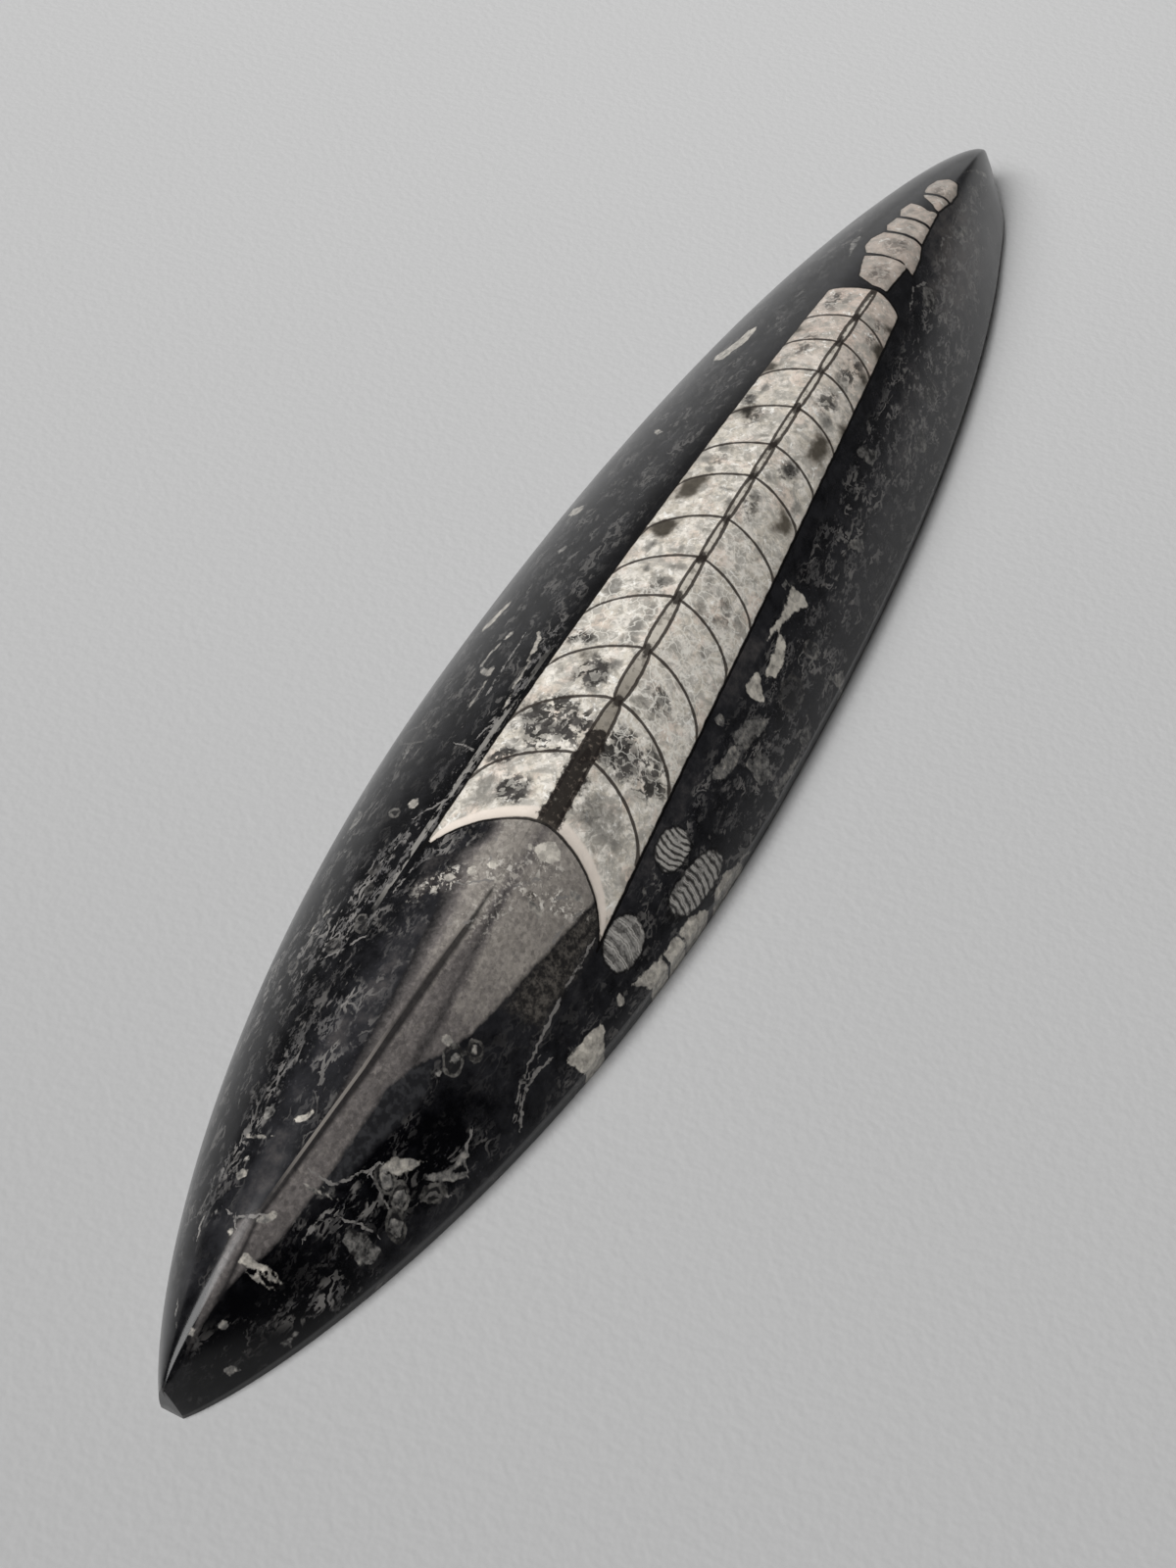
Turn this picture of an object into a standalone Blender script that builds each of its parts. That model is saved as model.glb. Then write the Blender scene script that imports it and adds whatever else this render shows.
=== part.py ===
"""A polished orthoceras fossil: a boat-shaped piece of black limestone, cut by hand.

The stone is one solid. It lies on a flat sawn back. Its top is ground to a long dome
that sharpens to a crest towards both tips, and the tips are cut off blunt. The +Y side of
the dome has a full shoulder, and the -Y side is ground flatter. The fossil shell inside is
ground flush with the stone, so it is colour only and not a raised form.

Lengths are in metres and +Z is up. The long axis runs along X, with the wide end of the
fossil shell towards -X. The origin is the middle of the back.
"""
import math

import bmesh
import bpy

# Driving dimensions
LENGTH = 0.2300
WIDTH = 0.0459
HEIGHT = 0.0214
LOWER_EDGE_ROUNDING = 0.0007

# Outline of the back, seen from above. Stations run from -1 at one tip to 1 at the other.
WIDEST_STATION = -0.154
NEAR_FULLNESS = (2.11, 0.777)
FAR_FULLNESS = (2.07, 0.636)
TIP_CUT = 0.010

# Crest line, seen from the side.
NEAR_CREST_FULLNESS = (1.75, 0.546)
FAR_CREST_FULLNESS = (1.88, 0.472)
TIP_HEIGHT_SHARE = 0.153

# Crest line, seen from above. It lies off the middle and swings across to the near tip.
CREST_OFFSET_SHARE = -0.179
NEAR_TIP_CREST_OFFSET_SHARE = 0.100
CREST_SWING_POWER = 3.0

# Cross-section of each side: the dome's exponent in the middle and at the tips, the power
# by which it falls from one to the other, the shoulder's exponent and the rim's height share.
SHOULDER_SIDE = (1.90, 1.50, 5.0, 1.53, 0.099)
FLAT_SIDE = (1.50, 1.12, 2.2, 1.05, 0.140)

# Faceting of the top
STATIONS = 104
STRIPS = 26

STONE_COLOUR = (0.022, 0.022, 0.024, 1.0)
STONE_ROUGHNESS = 0.16


def clear_scene():
    """Remove the objects that the file opened with."""
    for item in list(bpy.data.objects):
        bpy.data.objects.remove(item, do_unlink=True)


def half_width(station):
    """Half the width of the back at a station."""
    station *= 1.0 - TIP_CUT
    if station < WIDEST_STATION:
        reach = (WIDEST_STATION - station) / (1.0 + WIDEST_STATION)
        power, taper = NEAR_FULLNESS
    else:
        reach = (station - WIDEST_STATION) / (1.0 - WIDEST_STATION)
        power, taper = FAR_FULLNESS
    return 0.5 * WIDTH * (1.0 - reach ** power) ** taper


def crest_height(station):
    """Height of the crest above the back at a station."""
    station *= 1.0 - TIP_CUT
    power, taper = NEAR_CREST_FULLNESS if station < 0.0 else FAR_CREST_FULLNESS
    rise = (1.0 - abs(station) ** power) ** taper
    return HEIGHT * (TIP_HEIGHT_SHARE + (1.0 - TIP_HEIGHT_SHARE) * rise)


def crest_offset(station):
    """Distance of the crest from the middle at a station."""
    swing = abs(station) ** CREST_SWING_POWER if station < 0.0 else 0.0
    share = CREST_OFFSET_SHARE + (NEAR_TIP_CREST_OFFSET_SHARE - CREST_OFFSET_SHARE) * swing
    return share * half_width(station)


def dome_share(station, across):
    """Height at a place across the stone, as a share of the crest's height there.

    The place runs from -1 at one rim, through 0 on the crest, to 1 at the other rim.
    """
    middle, tip, sharpening, shoulder, rim = SHOULDER_SIDE if across > 0.0 else FLAT_SIDE
    exponent = middle + (tip - middle) * abs(station) ** sharpening
    dome = (1.0 - min(1.0, abs(across)) ** exponent) ** (1.0 / shoulder)
    return rim + (1.0 - rim) * dome


def top_point(station, across):
    """Place on the polished top, from its station and its place across."""
    half = half_width(station)
    crest = crest_offset(station)
    reach = half - crest if across > 0.0 else half + crest
    height = crest_height(station) * dome_share(station, across)
    return (0.5 * LENGTH * station, crest + across * reach, height)


def polished_top(mesh):
    """Bend a flat grid into the top. Its rows crowd together at the tips and the rims."""
    bmesh.ops.create_grid(mesh, x_segments=STATIONS, y_segments=STRIPS, size=1.0)
    for vertex in mesh.verts:
        station = math.sin(0.5 * math.pi * vertex.co.x)
        across = math.sin(0.5 * math.pi * vertex.co.y)
        vertex.co = top_point(station, across)


def rim_and_back(mesh):
    """Carry the rim of the top straight down to the ground and close the flat back."""
    rim = [edge for edge in mesh.edges if edge.is_boundary]
    skirt = bmesh.ops.extrude_edge_only(mesh, edges=rim)["geom"]
    for vertex in skirt:
        if isinstance(vertex, bmesh.types.BMVert):
            vertex.co.z = 0.0
    foot = [edge for edge in mesh.edges if edge.is_boundary]
    bmesh.ops.contextual_create(mesh, geom=foot)
    bmesh.ops.recalc_face_normals(mesh, faces=mesh.faces)


def stone_material():
    """Dense black limestone, ground and polished to a gloss."""
    material = bpy.data.materials.new("polished_black_limestone")
    material.use_nodes = True
    surface = material.node_tree.nodes["Principled BSDF"]
    surface.inputs["Base Color"].default_value = STONE_COLOUR
    surface.inputs["Roughness"].default_value = STONE_ROUGHNESS
    surface.inputs["Metallic"].default_value = 0.0
    material.diffuse_color = STONE_COLOUR
    return material


def fossil_stone(collection):
    """The whole stone, as one closed solid."""
    data = bpy.data.meshes.new("orthoceras_stone")
    mesh = bmesh.new()
    polished_top(mesh)
    rim_and_back(mesh)
    mesh.to_mesh(data)
    mesh.free()
    data.materials.append(stone_material())
    data.shade_smooth()
    data.set_sharp_from_angle(angle=math.radians(35.0))
    stone = bpy.data.objects.new("orthoceras_stone", data)
    collection.objects.link(stone)

    rounding = stone.modifiers.new("lower_edge_rounding", "BEVEL")
    rounding.width = LOWER_EDGE_ROUNDING
    rounding.segments = 2
    rounding.limit_method = "ANGLE"
    rounding.angle_limit = math.radians(50.0)
    return stone


def main():
    clear_scene()
    collection = bpy.data.collections.new("orthoceras_fossil")
    bpy.context.scene.collection.children.link(collection)
    fossil_stone(collection)


main()
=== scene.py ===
"""A polished orthoceras fossil: the looks of the stone, and the stage that it lies on.

Drawing sizes are in millimetres, x along the stone and y across it, seen from above.
Everything handed to Blender is in metres.
"""
import functools
import math

import bmesh
import bpy
import numpy as np
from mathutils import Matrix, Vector


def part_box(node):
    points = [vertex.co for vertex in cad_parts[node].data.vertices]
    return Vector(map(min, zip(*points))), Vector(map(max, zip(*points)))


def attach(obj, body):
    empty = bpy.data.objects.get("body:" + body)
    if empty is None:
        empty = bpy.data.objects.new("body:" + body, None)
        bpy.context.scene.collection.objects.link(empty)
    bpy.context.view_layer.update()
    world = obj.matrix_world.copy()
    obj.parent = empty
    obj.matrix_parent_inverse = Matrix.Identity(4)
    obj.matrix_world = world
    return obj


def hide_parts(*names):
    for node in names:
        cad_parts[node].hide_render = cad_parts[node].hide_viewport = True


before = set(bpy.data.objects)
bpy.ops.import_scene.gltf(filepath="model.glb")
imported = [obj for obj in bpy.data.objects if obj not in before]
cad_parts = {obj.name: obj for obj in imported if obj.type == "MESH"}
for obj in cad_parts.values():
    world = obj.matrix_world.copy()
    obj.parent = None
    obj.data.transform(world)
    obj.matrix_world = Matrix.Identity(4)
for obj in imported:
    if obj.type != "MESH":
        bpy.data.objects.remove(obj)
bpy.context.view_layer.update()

bl_info = {
    "name": "Polished Orthoceras Fossil",
    "version": (1, 0, 0),
    "blender": (4, 5, 0),
    "location": "View3D > Sidebar > Fossil",
    "description": "Builds a boat-shaped piece of black limestone with a polished orthoceras in it",
    "category": "Add Mesh",
}

STONE = "orthoceras_stone"
PIECE = "polished_fossil_stone"
MM = 0.001
BOX_LOW, BOX_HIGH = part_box(STONE)
LENGTH, WIDTH, HEIGHT = BOX_HIGH - BOX_LOW

# The stone's form, as shares of its box. Stations run from -1 at the tip by the wide end
# of the shell to 1 at the other tip.
WIDEST_STATION = -0.154
NEAR_FULLNESS = (2.11, 0.777)
FAR_FULLNESS = (2.07, 0.636)
TIP_CUT = 0.010
FAR_TIP_BULGE = 0.022
NEAR_CREST_FULLNESS = (1.75, 0.546)
FAR_CREST_FULLNESS = (1.88, 0.472)
TIP_HEIGHT_SHARE = 0.153
CREST_OFFSET_SHARE = -0.179
NEAR_TIP_CREST_OFFSET_SHARE = 0.100
CREST_SWING_POWER = 3.0
CREST_WEAR = 0.16

# Middle exponent, tip exponent, sharpening power, shoulder exponent and rim height share.
SHOULDER_SIDE = (1.90, 1.50, 5.0, 1.53, 0.099)
FLAT_SIDE = (1.50, 1.12, 2.2, 1.05, 0.140)

# The mesh: rows of the skirt below the rim, how much the columns crowd at the tips, and the
# wavelengths in metres and starts of the hand grinding's waves, along and across the stone.
SKIRT_ROWS = 3
TIP_CROWDING = 0.2
WAVE_ALONG = 0.0087
WAVE_ACROSS = 0.0052
WAVE_BEND = 0.0061
WAVE_BEND_DEPTH = 1.7
WAVE_START = 1.1
EDGE_ANGLE = math.radians(50.0)

# The stage, in metres. The floor lies a hair below the stone's back.
FLOOR_DROP = 0.00005
SOFTBOX_PLACE = (-1.10, 0.52, 1.60)
SOFTBOX_SIDE = 1.4
CEILING_WAY = (0.80, 0.60, 0.0)
WINDOW_WAY = (0.84, 0.54, 0.0)
CAMERA_PLACE = (-0.16993, -0.07334, 0.19655)
CAMERA_AIM = (-0.02518, -0.00045, 0.0)
SENSOR_MM = 36.0

# The shell: where each chamber wall meets the siphuncle, from the wide end to the break.
CHAMBER_WALLS = (-45.9, -36.1, -27.5, -19.3, -10.5, -3.2, 4.4, 12.9, 19.6, 27.9, 36.4,
                 43.7, 50.0, 57.6)
BREAK = 57.6

# The living chamber before the first wall counts as rooms of this length, in millimetres.
OPEN_ROOM = 10.0

# A distance that stands for far from anything drawn.
FAR_OFF = 9.0

# Grey clouds in the calcite. Each oval here and below has its place (x and y), length, width,
# turn and depth.
CALCITE_CLOUDS = (
    (-44.6, 2.4, 5.6, 3.8, 0, 0.58), (-43.8, -0.3, 3.4, 4.6, 20, 0.62), (-44.3, 0.4, 1.5, 1.2, 0, 0.9),
    (-43, -1.4, 1.6, 2.2, 30, 0.8), (-43, 3, 5, 2.4, 0, 0.42), (-41.8, -10.4, 7.4, 5.4, 10, 0.5),
    (-42.4, -10.8, 1.6, 1.4, 0, 0.85), (-40.6, -8.2, 2, 1.2, 40, 0.55), (-34.2, 0.2, 1.7, 2, 0, 0.98),
    (-33.6, 2.6, 3.4, 3.6, 0, 0.8), (-34.2, -1.6, 4.6, 1.8, 0, 0.85), (-32.6, -3.2, 1.8, 2.2, 0, 0.75),
    (-31, -1.4, 3, 2.6, 0, 0.55), (-35.6, 0.5, 4, 5, 0, 0.45), (-33, -9.2, 4.8, 5.2, -10, 0.62),
    (-34.4, -8, 1.6, 2, 60, 0.9), (-31.6, -9.6, 1.5, 1.1, 0, 0.95), (-32.8, -12.4, 2.4, 2.2, 0, 0.7),
    (-30.4, -11.4, 1.8, 2.6, 0, 0.5), (-25, -1.6, 4.6, 3, -20, 0.62), (-23, -3, 1.8, 1.6, 0, 0.8),
    (-27.4, -1.8, 1.2, 1.2, 0, 0.8), (-25.8, 2.4, 1.6, 2.4, 0, 0.4), (-26, -7.4, 3.4, 1.8, 0, 0.45),
    (-23.8, -9, 1.3, 1.6, 0, 0.85), (-27, -9.4, 1.5, 1.4, 0, 0.35), (-16.8, -2.4, 3.6, 1.9, 0, 0.8),
    (-14, -3.2, 3.4, 1.6, 0, 0.66), (-19, -2.6, 2.4, 2.6, 0, 0.55), (-20.6, 2.4, 1.4, 4, 15, 0.75),
    (-14, -10.3, 2.8, 1.2, 0, 0.65), (-17.6, -7.2, 2.6, 1.6, 0, 0.45), (-11.3, 3.1, 3.4, 2.2, 0, 0.8),
    (-7.3, 0.7, 1.3, 1, 20, 0.95), (-8.8, -2.4, 1.8, 2.6, 20, 0.85), (-6.2, -2.8, 2.6, 2.2, 0, 0.6),
    (-10.6, -1.4, 2.2, 3, 0, 0.45), (-9.4, -7.8, 2.4, 1.8, 0, 0.42), (-7.6, -11.2, 3.4, 2.2, 0, 0.34),
    (-5.2, -6.8, 2.6, 1.6, 0, 0.42), (-3.4, 2, 2.8, 1.2, 0, 0.98), (-3, -1.6, 1.5, 3, 0, 0.55),
    (1.4, -3, 2.6, 1.2, 0, 0.45), (2.6, -6.6, 2.6, 1.8, 0, 0.45), (-1.4, -7.8, 3.2, 1.4, 0, 0.22),
    (1, -9.4, 3, 1.2, 0, 0.22), (7.2, -3.7, 2.4, 0.9, 20, 0.75), (9.2, -2.4, 0.8, 3.2, 0, 0.6),
    (10.4, -5.7, 2.2, 1.1, 0, 0.85), (6.6, -6.6, 3.8, 1.6, 0, 0.36), (12.4, 1.2, 1.3, 1.4, 0, 0.65),
    (16.8, 1.5, 2.2, 1.4, 30, 0.6), (14.2, 2.6, 2, 1.2, 0, 0.5), (17.6, -7.6, 3.4, 1.7, -20, 0.85),
    (14.8, -6, 3, 1.2, 0, 0.5), (13.6, -10.2, 2.2, 1.3, 0, 0.72), (16.8, -1.2, 2.4, 1.6, 0, 0.35),
    (22, -2.4, 4.4, 1.6, 0, 0.45), (24.6, -0.8, 2.6, 1.4, 0, 0.45), (27.3, 2.7, 2.8, 1.8, -20, 0.88),
    (30.4, 1.7, 2.4, 1, 0, 0.92), (29, -7.8, 2.4, 1.1, 0, 0.95), (32.8, -5.7, 2.8, 1.5, 0, 0.46),
    (30.8, -5, 2.4, 1, 0, 0.42), (36.4, -7, 1.3, 1.8, 0, 0.7), (38, -5.8, 2.6, 1, 0, 0.5),
    (37.6, 1.8, 4, 1.4, 0, 0.5), (39.5, 0.3, 3.6, 1.6, 0, 0.35), (45.8, 1.2, 3, 1.8, 0, 0.4),
    (47.4, -7.2, 2.6, 1.1, 0, 0.92), (53.4, 1.8, 1.5, 1.6, 0, 0.75), (54, -0.5, 3.2, 1.2, 0, 0.65),
    (50.8, -4.6, 1.6, 2.2, 0, 0.22), (62.4, -1.4, 4.4, 1.6, 20, 0.28), (71.4, -1, 2, 2.4, 0, 0.5),
    (76.6, -1.6, 2.2, 2, 0, 0.4), (81.2, 0.4, 2.4, 1.2, 0, 0.42),
)

# Where thin dark branches run through the calcite.
DENDRITES = (
    (-43.6, -0.4, 4.6, 4.4, 0, 0.9), (-33.6, -0.4, 9, 9.6, 0, 1), (-32.6, -9.8, 6.4, 8.6, 0, 1),
    (-25, -1, 7, 5, 0, 0.7), (-39.6, 3, 3.6, 2.6, -40, 0.9), (-24, -8.8, 5, 4, 0, 0.55),
    (-41, -8.6, 5, 4, 0, 0.35), (-20.4, 3, 2.6, 4.4, 0, 0.7), (-10, -1.4, 6, 5, 0, 0.4),
    (-8, -9.4, 6, 4, 0, 0.4), (8, -5.8, 7, 3, 0, 0.5), (17, -7.4, 5, 3, 0, 0.6),
    (27.4, 2.8, 3.4, 2.4, 0, 0.6), (32, -6.6, 6, 3, 0, 0.55), (24, 0.6, 6, 3, 0, 0.55),
    (15, 1, 6, 3, 0, 0.45), (40, -6.8, 7, 3, 0, 0.6), (42, 0.6, 8, 3, 0, 0.45), (50, -6.4, 8, 2.6, 0, 0.45),
    (53, 1.2, 6, 3, 0, 0.55), (62, -2, 6, 4, 0, 0.45), (70.4, -1.4, 6, 4, 0, 0.5),
    (0.4, 1.6, 5, 3, 0, 0.55), (89, -1.4, 5, 3, 0, 0.45),
)

# Pale patches in the spar of the living chamber.
SPAR_PATCHES = (
    (-58.6, 2.6, 3.6, 1.8, -10, 0.42), (-55.4, 3, 3.6, 1.6, -30, 0.22), (-57.6, 0.6, 2.8, 1.6, 30, 0.45),
    (-53.6, 1.4, 3, 1.2, -40, 0.22),
)

# Where broken grains sparkle in that spar.
FLECKS = (
    (-56.6, -0.2, 8, 2.8, -48, 0.9), (-53.6, -4.6, 7, 5, -50, 0.55), (-52.6, -9.6, 8, 2.8, -62, 0.9),
    (-60, 2.4, 3.6, 1.6, -30, 0.35), (-48.4, -2.4, 4.6, 4, 0, 0.25), (-57, -5, 12, 6, -10, 0.42),
    (-49.6, -7.6, 4, 4, 0, 0.7), (-51, 1.8, 6, 5, -48, 0.14),
)

# Rock without haze, by the near tip.
CLEAR_BLACK = (
    (-104, -5, 24, 9, -25, 1.4), (-84, -9.6, 20, 7, -20, 1.1),
)

# Rock with more haze.
HAZY_ROCK = (
    (-94, 1, 14, 3, 0, 0.34), (-72, 0.6, 26, 4, -8, 0.3), (-36, -15.6, 34, 3, 2, 0.2),
    (-11, -14, 16, 3, 3, 0.3), (30, 12, 60, 7, -6, 0.06), (46, -14.8, 30, 6, 8, 0.26),
    (80, -8, 34, 9, 12, 0.5), (20, -18, 40, 6, 6, 0.16),
)

# Rock full of broken shell.
SHELLY_ROCK = (
    (-62, 8.6, 22, 6, -6, 0.42), (-70, 13.5, 18, 6, -10, 0.2), (-80, 3.4, 16, 6, -8, 0.24),
    (-50, 6.6, 24, 2.6, 0, 0.5), (-30, 6.4, 24, 1.8, 0, 0.5), (-87, -11, 15, 5.5, -38, 0.26),
    (-92, 5, 12, 4, -6, 0.22), (-5, -19, 44, 7, 3, 0.3), (-36, -16.4, 26, 3, 0, 0.3),
    (14, -17, 30, 7, 8, 0.3), (70, -9.6, 56, 8, 14, 0.52), (-66, -14.8, 14, 5, -20, 0.3),
    (38, -14, 40, 7, 8, 0.34), (-98, -6.6, 14, 5, -20, 0.16), (-54, 2.6, 9, 4, -30, 0.3),
)

# Rock with less of it.
PLAIN_ROCK = (
    (-95, 1.2, 14, 3, 0, 1), (-46, 11.8, 18, 4, 0, 0.7), (-105, -3.4, 20, 8, -20, 1.2),
    (-105, 3, 14, 4, -8, 0.8), (-83, -6, 16, 2.6, -8, 1),
)

# A little more of it again, along the near end's edges.
EXTRA_SHELL = (
    (-99, -8.6, 30, 2, -36, 0.32), (-95, -4.8, 14, 3, -30, 0.1), (-109, -2.6, 8, 3, -40, 0.3),
    (-80, -13.4, 14, 4, -30, 0.26),
)

# Patches where brown or black mud got into a chamber: darkness, then x and y of each corner.
MUD_PATCHES = (
    (0.9, -23.9, 0.8, -22.8, 2.2, -22.1, 1.2, -22.2, 0.8), (0.6, -2, 1, -1.3, 2.6, -0.4, 3.7, 0.7, 3.6,
    2.7, 0.9, 1.2, 0.4, -0.4, 0.5), (0.5, 5.6, 3.4, 9.2, 3.8, 10.6, 2.6, 11.6, 0.6, 10.2, 0.4, 8.8, 0.9,
    7, 0.7, 6.2, 1.6), (0.3, 7.4, -9, 10.2, -9.3, 12, -8.6, 11.4, -10.2, 10.2, -11.4, 8.9, -10.9),
    (1, 22.4, 0.9, 23.9, 1.6, 24.8, 3.4, 26, 2.7, 26.5, 1.1, 24.6, 0.8), (0.45, 21.2, -8, 24, -7.6,
    27, -7.6, 26.7, -9.1, 25.4, -9.9, 22.4, -9.7), (1, 21.3, -8.1, 22.6, -8.3, 23.4, -9.6, 22.6, -9.8),
    (0.9, 39.6, -8.2, 41, -7.6, 42, -8, 41.8, -8.9, 40, -9), (0.85, 28.2, -10.8, 30.4, -8.8, 32, -10.6),
    (0.8, 44.6, -9.4, 46.4, -7.3, 48.6, -7, 49.2, -8.9), (0.85, 50.8, -8.8, 52.8, -6.5, 54.4, -8.6),
    (0.7, 33.2, 4.2, 34.6, 2, 36, 1.9, 36.6, 4.2), (0.6, 43.4, 3.9, 45, 1.9, 46.6, 3.9),
)

# Pieces of the broken thin end, past the last whole chamber: x and y of each corner.
END_PIECES = (
    (58.4, -4.5, 58.6, -2.2, 60.4, 0.4, 63.4, 1.2, 66.4, 1.9, 66.7, -1, 66.2, -4.7), (65.6, -5.8,
    66.6, -3.8, 67.1, -0.6, 67.2, 1.9, 69.2, 2.9, 71.6, 2.9, 73.8, 1.7, 73.6, -1.2, 72.7, -4.5, 70, -5.3),
    (73.1, -4.4, 74, -1.4, 74.3, 1.6, 76, 2.1, 78.6, 1.6, 78.4, -1.2, 77.6, -3.9), (78.1, -3.8, 78.9, -1.2,
    79.2, 1.3, 81.2, 2, 83.8, 1.3, 83.2, -0.6, 82.2, -2, 82.6, -3.4), (83, -3.3, 83.2, -2.6, 84.4, -1.8,
    86, 0, 87, 0.6, 87.3, -1.4, 87, -3.6), (87.4, -3.7, 87.8, -1.6, 87.6, 0.7, 90, 1, 92.6, 0.4, 93.8, -1.2,
    93.2, -2.8, 90.6, -3.6),
)

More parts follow.
